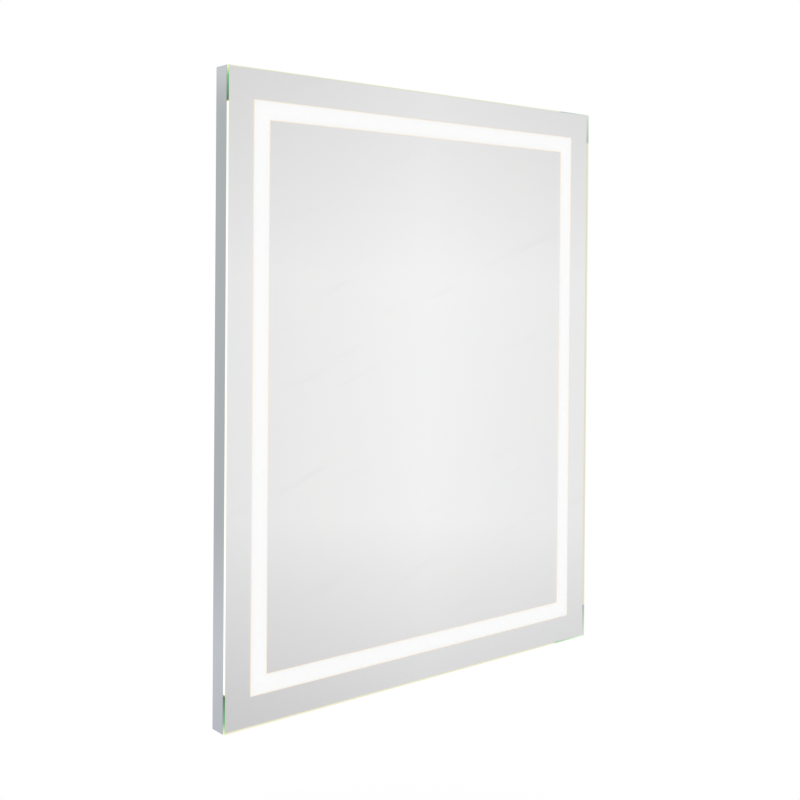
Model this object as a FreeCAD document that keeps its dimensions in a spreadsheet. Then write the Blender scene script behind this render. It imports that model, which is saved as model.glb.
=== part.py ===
import FreeCAD, Part
import math
import os
import Sketcher

# Lighted bathroom mirror that hangs on a wall rail.
# X runs along the wall, +Y points into the wall, +Z is up. The origin is the middle of the wall
# rail's row of screw holes, on the wall. Depths are given as the distance from the wall, so a
# piece at depth d lies at y = -d. Most pieces are drawn about the middle of the glass.

SIZES = [
    ("glass_width", 800.0, "glass, edge to edge"),
    ("glass_height", 1000.0, "glass, edge to edge"),
    ("glass_thickness", 5.0, "glass"),
    ("arris", 0.8, "polished bevel round the glass edges"),
    ("band_inset", 46.5, "glass edge to the lit band"),
    ("band_width", 30.0, "lit band"),
    ("band_corner", 2.5, "radius of the lit band's outer corners"),
    ("coat_thickness", 0.1, "silvering and its paint"),
    ("tape_thickness", 1.0, "bonding tape"),
    ("tape_margin", 0.6, "bonding tape, set back from the flange it lies on"),
    ("wall_gap", 1.0, "wall to the frame's rear edge"),
    ("rail_drop", 140.0, "top edge of the glass down to the wall screws"),
    ("frame_depth", 30.0, "frame, front edge to rear edge"),
    ("frame_wall", 1.6, "frame's outer wall"),
    ("frame_bevel", 0.5, "bevel on the frame's rear outer edge"),
    ("flange_width", 18.0, "frame's front flange, from the outer face"),
    ("flange_thickness", 1.8, "frame's front flange"),
    ("shelf_width", 16.0, "frame's shelf for the back panel, from the outer face"),
    ("shelf_thickness", 1.6, "frame's shelf"),
    ("key_slot", 3.2, "slot for the corner keys, front to rear"),
    ("slot_mouth", 6.0, "open mouth of the key slot"),
    ("key_leg", 45.0, "corner key's leg, from the outer corner"),
    ("key_thickness", 3.0, "corner key"),
    ("key_play", 0.3, "corner key to the sides of its slot"),
    ("key_bevel", 3.0, "corner key's outer corner"),
    ("grub_radius", 2.0, "grub screw"),
    ("grub_length", 4.2, "grub screw"),
    ("grub_place", 32.0, "outer corner to the grub screw"),
    ("panel_thickness", 1.0, "back panel"),
    ("panel_play", 0.4, "back panel to the frame's wall"),
    ("hole_play", 0.15, "hole over its screw, on the radius"),
    ("screw_radius", 1.75, "panel screw"),
    ("screw_length", 8.0, "panel screw under its head"),
    ("head_radius", 3.4, "panel screw's head"),
    ("head_height", 2.2, "panel screw's head"),
    ("screw_margin", 70.0, "glass edge to the first panel screw of a row"),
    ("screw_count_across", 3, "panel screws along the top and the bottom"),
    ("screw_count_up", 4, "panel screws up each side"),
    ("bead_width", 16.0, "stiffening bead"),
    ("bead_length", 340.0, "stiffening bead, between the centres of its ends"),
    ("bead_height", 1.2, "stiffening bead, also its skin"),
    ("bead_spacing", 190.0, "stiffening bead to the next"),
    ("bead_count", 3, "stiffening beads"),
    ("bead_drop", 240.0, "middle of the glass down to the middle of the beads"),
    ("vent_length", 36.0, "vent slot, between the centres of its ends"),
    ("vent_radius", 1.6, "vent slot's end"),
    ("vent_pitch", 9.0, "vent slot to the next"),
    ("vent_count", 6, "vent slots in a group"),
    ("vent_place", 285.0, "middle of the glass across to a vent group"),
    ("vent_rise", 210.0, "middle of the glass up to a vent group"),
    ("channel_depth", 14.0, "light channel, lips to rear face"),
    ("channel_wall", 1.2, "light channel"),
    ("channel_clear", 2.0, "lit band's edge to the channel's side wall"),
    ("lip_width", 9.0, "light channel's lip, from the inside of its wall"),
    ("ledge_width", 1.5, "ledge under the diffuser"),
    ("ledge_thickness", 1.0, "ledge under the diffuser"),
    ("diffuser_thickness", 2.0, "opal diffuser"),
    ("fit_play", 0.3, "loose fit, such as a diffuser in its channel"),
    ("board_width", 10.0, "LED strip's board"),
    ("board_thickness", 1.2, "LED strip's board and its adhesive"),
    ("board_gap", 12.0, "corner of the LED ring to a strip's end"),
    ("led_length", 3.5, "LED package along the strip"),
    ("led_width", 2.8, "LED package across the strip"),
    ("led_height", 0.8, "LED package"),
    ("led_pitch", 25.0, "LED to the next"),
    ("led_margin", 20.0, "strip's end to the first LED, at least"),
    ("clasp_length", 10.0, "corner link's clasp over a strip's end"),
    ("clasp_width", 13.0, "corner link's clasp"),
    ("clasp_height", 2.4, "corner link's clasp"),
    ("clasp_reach", 5.0, "clasp's length on the strip"),
    ("driver_length", 180.0, "LED driver's case"),
    ("driver_width", 46.0, "LED driver's case"),
    ("driver_height", 19.0, "LED driver's case off the panel"),
    ("driver_round", 3.0, "LED driver's rounded edges"),
    ("driver_rise", 60.0, "middle of the glass up to the driver"),
    ("ear_length", 14.0, "driver's mounting ear"),
    ("ear_thickness", 3.0, "driver's mounting ear"),
    ("ear_hole_offset", 14.0, "driver's middle line to its screws"),
    ("gland_radius", 3.4, "driver's cable outlet"),
    ("gland_length", 3.0, "driver's cable outlet past its ear"),
    ("rib_count", 7, "grooves in the driver's case"),
    ("rib_pitch", 5.0, "groove to the next"),
    ("rib_width", 2.0, "groove"),
    ("rib_depth", 1.0, "groove"),
    ("rib_margin", 12.0, "driver's end to a groove's end"),
    ("driver_screw_radius", 2.0, "driver's screws"),
    ("driver_screw_length", 6.0, "driver's screws under the head"),
    ("box_width", 120.0, "wiring box"),
    ("box_height", 72.0, "wiring box"),
    ("box_depth", 18.0, "wiring box"),
    ("box_wall", 1.5, "wiring box"),
    ("box_rise", 150.0, "middle of the glass up to the wiring box"),
    ("boss_size", 9.0, "wiring box's corner boss"),
    ("access_margin", 12.0, "wiring box's outside to the panel's service opening"),
    ("cover_overlap", 4.0, "service cover past the wiring box"),
    ("cover_thickness", 1.2, "service cover"),
    ("cover_round", 5.0, "service cover's corners"),
    ("cover_screw_radius", 1.4, "service cover's screws"),
    ("cover_screw_length", 10.0, "service cover's screws under the head"),
    ("cover_head_radius", 2.8, "service cover's screws"),
    ("cover_head_height", 1.8, "service cover's screws"),
    ("grommet_bore", 4.25, "cable grommet's bore, for a round cable"),
    ("grommet_neck", 6.5, "cable grommet in its hole"),
    ("grommet_flange", 9.0, "cable grommet's flanges"),
    ("grommet_lip", 1.6, "thickness of a grommet flange"),
    ("grommet_offset", 26.0, "wiring box's middle to the grommet"),
    ("block_width", 22.0, "terminal block along the wall"),
    ("block_height", 28.0, "terminal block upwards"),
    ("block_depth", 13.0, "terminal block off the box's floor"),
    ("block_offset", 16.0, "wiring box's middle to the terminal block"),
    ("pole_pitch", 8.5, "terminal to the next"),
    ("well_radius", 2.4, "terminal screw's well"),
    ("well_depth", 4.0, "terminal screw's well"),
    ("well_offset", 5.5, "terminal block's middle to a row of wells"),
    ("entry_radius", 1.5, "terminal's wire entry"),
    ("entry_depth", 5.0, "terminal's wire entry"),
    ("terminal_screw_radius", 2.2, "terminal screw"),
    ("terminal_screw_height", 2.0, "terminal screw"),
    ("stud_radius", 2.0, "earth screw"),
    ("stud_height", 9.0, "earth screw off the box's floor"),
    ("stud_nut_radius", 3.6, "earth screw's nut, to its corners"),
    ("stud_nut_height", 3.2, "earth screw's nut"),
    ("stud_offset", 22.0, "wiring box's middle across to the earth screw"),
    ("stud_rise", 20.0, "wiring box's middle up to the earth screw"),
    ("lug_radius", 3.9, "ring lug on the earth screw"),
    ("lug_thickness", 0.8, "ring lug"),
    ("cable_radius", 2.2, "driver's cables"),
    ("lead_radius", 0.8, "single wires"),
    ("input_reach", 60.0, "driver's outlet across to the input cable's rise"),
    ("output_reach", 66.0, "driver's outlet across to the output cable's rise"),
    ("sheath_entry", 8.0, "input cable's sheath into the wiring box"),
    ("sheath_cover", 1.0, "lead's start inside its sheath"),
    ("lead_run", 6.0, "lead's straight run out of its sheath"),
    ("lead_setback", 8.0, "lead's last bend to the terminal block"),
    ("lead_entry", 3.0, "lead's end inside the terminal block"),
    ("lead_spread", 2.0, "lead to lead in the sheath"),
    ("earth_run", 9.0, "earth lead's first bend to the terminal block"),
    ("earth_step", 6.0, "earth lead's first bend across to its second"),
    ("clip_base", 1.5, "cable clip under the cable"),
    ("clip_length", 7.0, "cable clip along the cable"),
    ("clip_width", 11.0, "cable clip across the cable"),
    ("clip_cover", 1.4, "cable clip over the cable"),
    ("clip_near", 50.0, "output cable's rise across to its next clip"),
    ("clip_far", 40.0, "feed connector across to the output cable's last clip"),
    ("feed_width", 16.0, "feed connector along the wall"),
    ("feed_height", 12.0, "feed connector upwards"),
    ("feed_depth", 7.0, "feed connector off the channel"),
    ("feed_rise", 140.0, "middle of the glass up to the feed connector"),
    ("plug_width", 8.0, "feed connector's neck through the channel"),
    ("plug_height", 6.0, "feed connector's neck through the channel"),
    ("cleat_thickness", 2.5, "wall rail and hanger rail"),
    ("cleat_play", 0.5, "each gap between wall, rails and panel"),
    ("cleat_web", 30.0, "flat web of either rail"),
    ("cleat_hook", 12.0, "hook of the wall rail above its ledge"),
    ("hook_clearance", 1.0, "hanger rail's hook over the wall rail's ledge"),
    ("hanger_length", 600.0, "hanger rail"),
    ("wall_rail_length", 560.0, "wall rail"),
    ("slot_radius", 2.75, "half the width of a wall screw's slot or hole"),
    ("slot_length", 16.0, "wall screw's slot, end to end"),
    ("slot_spacing", 480.0, "slot to slot"),
    ("hole_spacing", 160.0, "round hole to round hole"),
    ("rivet_radius", 2.0, "hanger rail's rivets"),
    ("rivet_head_radius", 3.8, "rivet's head"),
    ("rivet_head_height", 1.1, "rivet's head"),
    ("rivet_tail_radius", 3.0, "rivet's set tail"),
    ("rivet_tail_height", 1.6, "rivet's set tail"),
    ("rivet_margin", 25.0, "hanger rail's end to its first rivet"),
    ("rivet_count", 6, "rivets"),
    ("bumper_radius", 10.0, "rubber bumper"),
    ("bumper_round", 1.0, "rubber bumper's edge"),
    ("bumper_inset", 45.0, "glass edges to a bumper's middle"),
]

doc = FreeCAD.newDocument("LightedMirror")
sheet = doc.addObject("Spreadsheet::Sheet", "Sizes")
for row, (alias, size, meaning) in enumerate(SIZES, start=1):
    sheet.set(f"A{row}", meaning)
    sheet.set(f"B{row}", str(size))
    sheet.setAlias(f"B{row}", alias)
doc.recompute()

# Depths, as distances from the wall.
PANEL_REAR = "(2 * Sizes.cleat_thickness + 3 * Sizes.cleat_play)"
PANEL_FRONT = f"({PANEL_REAR} + Sizes.panel_thickness)"
FRAME_REAR = "Sizes.wall_gap"
FRAME_FRONT = "(Sizes.wall_gap + Sizes.frame_depth)"
GLASS_REAR = f"({FRAME_FRONT} + Sizes.coat_thickness)"
TAPE_REAR = f"({FRAME_FRONT} - Sizes.tape_thickness)"
SHELF_FRONT = f"({PANEL_FRONT} + Sizes.shelf_thickness)"
CHANNEL_REAR = f"({TAPE_REAR} - Sizes.channel_depth)"
CHANNEL_FLOOR = f"({CHANNEL_REAR} + Sizes.channel_wall)"
BOARD_FRONT = f"({CHANNEL_FLOOR} + Sizes.board_thickness)"
DIFFUSER_REAR = f"({GLASS_REAR} - Sizes.fit_play - Sizes.diffuser_thickness)"
BOX_FLOOR = f"({PANEL_FRONT} + Sizes.box_depth - Sizes.box_wall)"
BLOCK_REAR = f"({BOX_FLOOR} - Sizes.block_depth)"
CABLE_DEPTH = f"({PANEL_FRONT} + Sizes.clip_base + Sizes.cable_radius)"

# Places across the face, from the middle of the glass or in from its edge.
GLASS_MIDDLE = "(Sizes.rail_drop - Sizes.glass_height / 2)"
BAND_MIDDLE = "(Sizes.band_inset + Sizes.band_width / 2)"
CHANNEL_HALF = "(Sizes.band_width / 2 + Sizes.channel_clear)"
SLOT_MIDDLE = "(Sizes.shelf_width / 2)"
HOOK_TOP = "(Sizes.cleat_web / 2 + Sizes.cleat_hook)"


def number(expression):
    """The value that an expression on the sheet has."""
    return float(sheet.evalExpression(expression))


def whole(expression):
    """The whole number that an expression on the sheet has."""
    return int(round(number(expression)))


def negative(expression):
    """The expression with its sign turned."""
    return f"-({expression})"


def spaced(count, span):
    """Expressions for places evenly spaced over a span that is centred on zero."""
    steps = max(whole(count) - 1, 1)
    return [f"({step} / {steps} - 0.5) * ({span})" for step in range(steps + 1)]


# ---------------------------------------------------------------- sketches and features


def new_body(label):
    """An empty body whose label is the sub-part's name."""
    body = doc.addObject("PartDesign::Body", label)
    body.Label = label
    return body


def new_sketch(body, name, role, offset=None):
    """A sketch on one of the body's own origin planes, moved along the plane's normal."""
    sketch = body.newObject("Sketcher::SketchObject", name)
    plane = next(feature for feature in body.Origin.OriginFeatures if feature.Role == role)
    sketch.AttachmentSupport = [(plane, "")]
    sketch.MapMode = "FlatFace"
    if offset is not None:
        sketch.setExpression("AttachmentOffset.Base.z", offset)
    return sketch


def face_sketch(body, name, depth):
    """A sketch parallel to the wall at a depth: X across, Z up, its normal towards the room."""
    return new_sketch(body, name, "XZ_Plane", depth)


def hold_point(sketch, geometry, vertex, across, up):
    """Holds one point of a sketch at an expression across and an expression up."""
    for kind, axis, expression in (("DistanceX", -2, across), ("DistanceY", -1, up)):
        if expression == "0":
            sketch.addConstraint(Sketcher.Constraint("PointOnObject", geometry, vertex, axis))
            continue
        place = number(expression)
        constraint = Sketcher.Constraint(kind, -1, 1, geometry, vertex, place)
        index = sketch.addConstraint(constraint)
        sketch.setExpression(f"Constraints[{index}]", expression)


def draw_polygon(sketch, points):
    """A closed outline through points given as pairs of expressions."""
    corners = [FreeCAD.Vector(number(across), number(up), 0) for across, up in points]
    first = sketch.GeometryCount
    for start, end in zip(corners, corners[1:] + corners[:1]):
        sketch.addGeometry(Part.LineSegment(start, end), False)
    for step in range(len(points)):
        following = first + (step + 1) % len(points)
        sketch.addConstraint(Sketcher.Constraint("Coincident", first + step, 2, following, 1))
    for step, (across, up) in enumerate(points):
        hold_point(sketch, first + step, 1, across, up)


def draw_rectangle(sketch, width, height, across="0", up="0"):
    """A rectangle centred on a point."""
    left = f"{across} - ({width}) / 2"
    right = f"{across} + ({width}) / 2"
    low = f"{up} - ({height}) / 2"
    high = f"{up} + ({height}) / 2"
    draw_polygon(sketch, [(left, low), (right, low), (right, high), (left, high)])


def draw_circle(sketch, radius, across="0", up="0"):
    """A circle about a point."""
    middle = FreeCAD.Vector(number(across), number(up), 0)
    normal = FreeCAD.Vector(0, 0, 1)
    index = sketch.addGeometry(Part.Circle(middle, normal, number(radius)), False)
    hold_point(sketch, index, 3, across, up)
    held = sketch.addConstraint(Sketcher.Constraint("Radius", index, number(radius)))
    sketch.setExpression(f"Constraints[{held}]", radius)


def draw_slot(sketch, start, end, radius):
    """A slot with round ends about two points, which lie along one of the sketch's axes."""
    centres = [FreeCAD.Vector(number(across), number(up), 0) for across, up in (start, end)]
    normal = FreeCAD.Vector(0, 0, 1)
    reach = number(radius)
    run = centres[1] - centres[0]
    heading = math.atan2(run.y, run.x)
    side = FreeCAD.Vector(-math.sin(heading), math.cos(heading), 0) * reach
    turn = math.pi / 2
    near_arc = Part.ArcOfCircle(
        Part.Circle(centres[0], normal, reach), heading + turn, heading + 3 * turn
    )
    far_arc = Part.ArcOfCircle(Part.Circle(centres[1], normal, reach), heading - turn, heading + turn)
    near = sketch.addGeometry(near_arc, False)
    right = sketch.addGeometry(Part.LineSegment(centres[0] - side, centres[1] - side), False)
    far = sketch.addGeometry(far_arc, False)
    left = sketch.addGeometry(Part.LineSegment(centres[1] + side, centres[0] + side), False)
    for one, other in ((near, right), (right, far), (far, left), (left, near)):
        sketch.addConstraint(Sketcher.Constraint("Tangent", one, 2, other, 1))
    hold_point(sketch, near, 3, *start)
    hold_point(sketch, far, 3, *end)
    sketch.addConstraint(Sketcher.Constraint("Equal", near, far))
    held = sketch.addConstraint(Sketcher.Constraint("Radius", near, reach))
    sketch.setExpression(f"Constraints[{held}]", radius)


def add_pad(body, sketch, length, symmetric=False, rearward=False):
    """Material on a sketch, along its normal."""
    pad = body.newObject("PartDesign::Pad", f"{sketch.Name}_pad")
    pad.Profile = sketch
    pad.setExpression("Length", length)
    pad.Reversed = rearward
    if symmetric:
        pad.SideType = "Symmetric"
    doc.recompute()
    return pad


def add_pocket(body, sketch, depth=None, forward=True):
    """A cut along a sketch's normal to a depth, or right through the body both ways."""
    before = body.Shape.Volume
    pocket = body.newObject("PartDesign::Pocket", f"{sketch.Name}_pocket")
    pocket.Profile = sketch
    if depth is None:
        pocket.Type = "ThroughAll"
        pocket.SideType = "Symmetric"
    else:
        pocket.setExpression("Length", depth)
        pocket.Reversed = forward
    doc.recompute()
    if body.Shape.Volume >= before:
        raise ValueError(f"{body.Label}: {pocket.Name} cuts nothing")
    return pocket


def add_edge_feature(body, kind, wanted, size_name, size):
    """A fillet or chamfer on the edges of the body's last feature that a test picks out."""
    base = body.Tip
    names = [f"Edge{i}" for i, edge in enumerate(base.Shape.Edges, start=1) if wanted(edge)]
    feature = body.newObject(f"PartDesign::{kind}", f"{body.Name}_{kind.lower()}")
    feature.Base = (base, names)
    feature.setExpression(size_name, size)
    doc.recompute()
    return feature


def runs_along_y(edge):
    """Whether an edge is straight and square to the wall."""
    start, end = edge.Vertexes[0].Point, edge.Vertexes[-1].Point
    straight = edge.Curve.TypeId == "Part::GeomLine"
    return straight and abs(abs(start.y - end.y) - edge.Length) < 1e-6


def add_row(body, original, direction, count, span):
    """Copies of a feature in a row that starts with the feature itself."""
    pattern = body.newObject("PartDesign::LinearPattern", f"{original.Name}_row")
    pattern.Originals = [original]
    pattern.Direction = direction
    pattern.setExpression("Length", span)
    pattern.Occurrences = count
    body.Tip = pattern
    doc.recompute()
    return pattern


def centre_on_glass(piece, across="0", up="0"):
    """Places a piece drawn about its own middle at a point from the middle of the glass."""
    piece.setExpression("Placement.Base.x", across)
    piece.setExpression("Placement.Base.z", f"{GLASS_MIDDLE} + {up}")


def make_box(name, width, height, thickness, across, up, rear):
    """A block from its size, the middle of its face and the depth of its rear face."""
    block = doc.addObject("Part::Box", name)
    block.setExpression("Length", width)
    block.setExpression("Width", thickness)
    block.setExpression("Height", height)
    block.setExpression("Placement.Base.x", f"{across} - ({width}) / 2")
    block.setExpression("Placement.Base.y", f"-({rear}) - ({thickness})")
    block.setExpression("Placement.Base.z", f"{up} - ({height}) / 2")
    return block


def make_group(label, members):
    """Separate solids kept together in one sub-part, drawn about the middle of the glass."""
    group = doc.addObject("Part::Compound", label)
    group.Label = label
    group.Links = members
    centre_on_glass(group)
    return group


# ---------------------------------------------------------------- the four sides and corners


class Side:
    """One side of the glass: how its pieces turn, and where and how long its edge is.

    A side's pieces are drawn with X along the edge and Z inwards from it.
    """

    def __init__(self, name, angle, across, up, run, screws):
        self.name = name
        self.angle = angle
        self.across = across
        self.up = up
        self.run = run
        self.screws = screws

    def seat(self, piece):
        """Turns a piece to this side and puts it on the glass edge."""
        turn_about_y(piece, self.angle)
        centre_on_glass(piece, self.across, self.up)


def turn_about_y(piece, angle):
    """Turns a piece in the plane of the mirror."""
    rotation = FreeCAD.Rotation(FreeCAD.Vector(0, 1, 0), angle)
    piece.Placement = FreeCAD.Placement(FreeCAD.Vector(), rotation)


HALF_WIDTH = "Sizes.glass_width / 2"
HALF_HEIGHT = "Sizes.glass_height / 2"
SIDES = [
    Side("top", 180, "0", HALF_HEIGHT, "Sizes.glass_width", "Sizes.screw_count_across"),
    Side("bottom", 0, "0", negative(HALF_HEIGHT), "Sizes.glass_width", "Sizes.screw_count_across"),
    Side("left", 90, negative(HALF_WIDTH), "0", "Sizes.glass_height", "Sizes.screw_count_up"),
    Side("right", -90, HALF_WIDTH, "0", "Sizes.glass_height", "Sizes.screw_count_up"),
]
# Each corner's pieces are drawn with X and Z inwards from the corner of the glass.
CORNERS = [
    ("top_left", 90, negative(HALF_WIDTH), HALF_HEIGHT),
    ("top_right", 180, HALF_WIDTH, HALF_HEIGHT),
    ("bottom_left", 0, negative(HALF_WIDTH), negative(HALF_HEIGHT)),
    ("bottom_right", -90, HALF_WIDTH, negative(HALF_HEIGHT)),
]


def make_mitred(label, side, section, reach):
    """A length of profile along one side, mitred at both ends.

    The section's points are (depth from the wall, distance in from the glass edge), and reach
    is the furthest that the profile goes in.
    """
    body = new_body(label)
    profile = new_sketch(body, f"{label}_section", "YZ_Plane")
    draw_polygon(profile, [(negative(depth), inward) for depth, inward in section])
    add_pad(body, profile, side.run, symmetric=True)
    mitres = face_sketch(body, f"{label}_mitres", "0")
    for sign in ("", "-"):
        outer = f"{sign}({side.run} / 2 + Sizes.fit_play)"
        inner = f"{sign}({side.run} / 2 - {reach} - Sizes.fit_play)"
        low = "-Sizes.fit_play"
        high = f"{reach} + Sizes.fit_play"
        draw_polygon(mitres, [(outer, low), (outer, high), (inner, high)])
    add_pocket(body, mitres)
    side.seat(body)
    return body


# ---------------------------------------------------------------- glass and silvering


def make_glass():
    """Float glass with a polished arris on every edge."""
    body = new_body("mirror_glass")
    outline = face_sketch(body, "glass_outline", GLASS_REAR)
    draw_rectangle(outline, "Sizes.glass_width", "Sizes.glass_height")
    add_pad(body, outline, "Sizes.glass_thickness")
    add_edge_feature(body, "Chamfer", lambda edge: True, "Size", "Sizes.arris")
    centre_on_glass(body)
    return body


def make_silvering():
    """Two fields of silvering that leave the lit band open between them."""
    border = new_body("silver_border")
    outline = face_sketch(border, "border_outline", FRAME_FRONT)
    draw_rectangle(
        outline, "Sizes.glass_width - 2 * Sizes.arris", "Sizes.glass_height - 2 * Sizes.arris"
    )
    window_width = "Sizes.glass_width - 2 * Sizes.band_inset"
    window_height = "Sizes.glass_height - 2 * Sizes.band_inset"
    draw_rectangle(outline, window_width, window_height)
    add_pad(border, outline, "Sizes.coat_thickness")
    inside_border = number("(Sizes.glass_width - Sizes.band_inset) / 2")

    def is_window_corner(edge):
        """Whether an edge is one of the window's four corners, square to the wall."""
        return runs_along_y(edge) and abs(edge.Vertexes[0].X) < inside_border

    add_edge_feature(border, "Fillet", is_window_corner, "Radius", "Sizes.band_corner")
    centre_on_glass(border)
    centre = new_body("silver_centre")
    field = face_sketch(centre, "centre_outline", FRAME_FRONT)
    draw_rectangle(
        field,
        f"{window_width} - 2 * Sizes.band_width",
        f"{window_height} - 2 * Sizes.band_width",
    )
    add_pad(centre, field, "Sizes.coat_thickness")
    centre_on_glass(centre)
    return [border, centre]


def make_tape(label, bands):
    """Four strips of tape behind each band, given as (outer distance, inner distance) inwards.

    The strips along the top and the bottom run the whole way, and the others between them.
    """
    strips = []
    for step, (outer, inner) in enumerate(bands):
        thick = f"({inner} - ({outer}))"
        middle = f"({outer} + {thick} / 2)"
        for sign in ("", "-"):
            name = f"{label}_{step}_{len(strips)}"
            strips.append(
                make_box(
                    f"{name}_across",
                    f"Sizes.glass_width - 2 * ({outer})",
                    thick,
                    "Sizes.tape_thickness",
                    "0",
                    f"{sign}({HALF_HEIGHT} - {middle})",
                    TAPE_REAR,
                )
            )
            strips.append(
                make_box(
                    f"{name}_up",
                    thick,
                    f"Sizes.glass_height - 2 * ({inner})",
                    "Sizes.tape_thickness",
                    f"{sign}({HALF_WIDTH} - {middle})",
                    "0",
                    TAPE_REAR,
                )
            )
    return make_group(label, strips)


# ---------------------------------------------------------------- frame


def make_frame_rail(side):
    """Extruded rail: outer wall, glass flange, panel shelf and a slot for the corner keys."""
    shelf_inner = "(Sizes.shelf_width - Sizes.frame_wall)"
    slot_front = f"({SHELF_FRONT} + Sizes.key_slot)"
    lip_front = f"({slot_front} + Sizes.shelf_thickness)"
    flange_rear = f"({TAPE_REAR} - Sizes.flange_thickness)"
    mouth_outer = f"({SLOT_MIDDLE} - Sizes.slot_mouth / 2)"
    mouth_inner = f"({SLOT_MIDDLE} + Sizes.slot_mouth / 2)"
    section = [
        (FRAME_FRONT, "0"),
        (FRAME_FRONT, "Sizes.frame_wall"),
        (TAPE_REAR, "Sizes.frame_wall"),
        (TAPE_REAR, "Sizes.flange_width"),
        (flange_rear, "Sizes.flange_width"),
        (flange_rear, "Sizes.frame_wall"),
        (lip_front, "Sizes.frame_wall"),
        (lip_front, mouth_outer),
        (slot_front, mouth_outer),
        (slot_front, "Sizes.frame_wall"),
        (SHELF_FRONT, "Sizes.frame_wall"),
        (SHELF_FRONT, shelf_inner),
        (slot_front, shelf_inner),
        (slot_front, mouth_inner),
        (lip_front, mouth_inner),
        (lip_front, "Sizes.shelf_width"),
        (PANEL_FRONT, "Sizes.shelf_width"),
        (PANEL_FRONT, "Sizes.frame_wall"),
        (FRAME_REAR, "Sizes.frame_wall"),
        (FRAME_REAR, "Sizes.frame_bevel"),
        (f"({FRAME_REAR} + Sizes.frame_bevel)", "0"),
    ]
    body = make_mitred(f"frame_rail_{side.name}", side, section, "Sizes.flange_width")
    holes = face_sketch(body, f"{side.name}_shelf_holes", PANEL_FRONT)
    for along in spaced(side.screws, f"{side.run} - 2 * Sizes.screw_margin"):
        draw_circle(holes, "Sizes.screw_radius + Sizes.hole_play", along, SLOT_MIDDLE)
    add_pocket(body, holes, "Sizes.shelf_thickness")
    return body


def make_corner_key(name, angle, across, up):
    """Flat right-angled key that slides into the slots of two rails."""
    label = f"corner_key_{name}"
    body = new_body(label)
    near = "(Sizes.frame_wall + Sizes.key_play)"
    far = "(Sizes.shelf_width - Sizes.frame_wall - Sizes.key_play)"
    bevel = f"({near} + Sizes.key_bevel)"
    outline = face_sketch(body, f"{label}_outline", SHELF_FRONT)
    draw_polygon(
        outline,
        [
            (bevel, near),
            ("Sizes.key_leg", near),
            ("Sizes.key_leg", far),
            (far, far),
            (far, "Sizes.key_leg"),
            (near, "Sizes.key_leg"),
            (near, bevel),
        ],
    )
    add_pad(body, outline, "Sizes.key_thickness")
    holes = face_sketch(body, f"{label}_holes", SHELF_FRONT)
    for place in (("Sizes.grub_place", SLOT_MIDDLE), (SLOT_MIDDLE, "Sizes.grub_place")):
        draw_circle(holes, "Sizes.grub_radius + Sizes.hole_play", *place)
    add_pocket(body, holes)
    turn_about_y(body, angle)
    centre_on_glass(body, across, up)
    return body


# ---------------------------------------------------------------- light channels


def make_light_channel(side):
    """Trough behind the lit band, with lips for the tape and ledges for the diffuser."""
    lip_rear = f"({TAPE_REAR} - Sizes.channel_wall)"
    ledge_rear = f"({DIFFUSER_REAR} - Sizes.ledge_thickness)"
    inside = CHANNEL_HALF
    ledge = f"({CHANNEL_HALF} - Sizes.ledge_width)"
    outside = f"({CHANNEL_HALF} + Sizes.channel_wall)"
    lip = f"({CHANNEL_HALF} + Sizes.lip_width)"
    half = [
        (TAPE_REAR, lip),
        (TAPE_REAR, inside),
        (DIFFUSER_REAR, inside),
        (DIFFUSER_REAR, ledge),
        (ledge_rear, ledge),
        (ledge_rear, inside),
        (CHANNEL_FLOOR, inside),
    ]
    rear_half = [
        (CHANNEL_REAR, outside),
        (lip_rear, outside),
        (lip_rear, lip),
    ]
    section = [(depth, f"{BAND_MIDDLE} - {inward}") for depth, inward in half]
    section += [(depth, f"{BAND_MIDDLE} + {inward}") for depth, inward in reversed(half)]
    section += [(depth, f"{BAND_MIDDLE} + {inward}") for depth, inward in reversed(rear_half)]
    section += [(depth, f"{BAND_MIDDLE} - {inward}") for depth, inward in rear_half]
    body = make_mitred(f"light_channel_{side.name}", side, section, f"({BAND_MIDDLE} + {lip})")
    if side.name == "left":
        slot = face_sketch(body, "feed_slot", CHANNEL_REAR)
        width = "Sizes.plug_height + 2 * Sizes.fit_play"
        height = "Sizes.plug_width + 2 * Sizes.fit_play"
        draw_rectangle(slot, width, height, negative("Sizes.feed_rise"), BAND_MIDDLE)
        add_pocket(body, slot, "Sizes.channel_wall")
    return body


def make_diffuser(side):
    """Opal strip that lies on the channel's ledges, just behind the glass."""
    half = f"({CHANNEL_HALF} - Sizes.fit_play)"
    front = f"({DIFFUSER_REAR} + Sizes.diffuser_thickness)"
    near = f"{BAND_MIDDLE} - {half}"
    far = f"{BAND_MIDDLE} + {half}"
    section = [(DIFFUSER_REAR, near), (front, near), (front, far), (DIFFUSER_REAR, far)]
    return make_mitred(f"diffuser_{side.name}", side, section, f"({BAND_MIDDLE} + {half})")


def make_led_strip(side):
    """Board on the channel's floor with a row of LED packages soldered to it."""
    label = f"led_strip_{side.name}"
    body = new_body(label)
    length = f"({side.run} - 2 * {BAND_MIDDLE} - 2 * Sizes.board_gap)"
    board = face_sketch(body, f"{label}_board", CHANNEL_FLOOR)
    draw_rectangle(board, length, "Sizes.board_width", "0", BAND_MIDDLE)
    add_pad(body, board, "Sizes.board_thickness")
    gaps = int((number(length) - 2 * number("Sizes.led_margin")) // number("Sizes.led_pitch"))
    span = f"({gaps} * Sizes.led_pitch)"
    package = face_sketch(body, f"{label}_package", BOARD_FRONT)
    draw_rectangle(package, "Sizes.led_length", "Sizes.led_width", f"-{span} / 2", BAND_MIDDLE)
    first = add_pad(body, package, "Sizes.led_height")
    add_row(body, first, (package, ["H_Axis"]), gaps + 1, span)
    side.seat(body)
    return body


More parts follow.
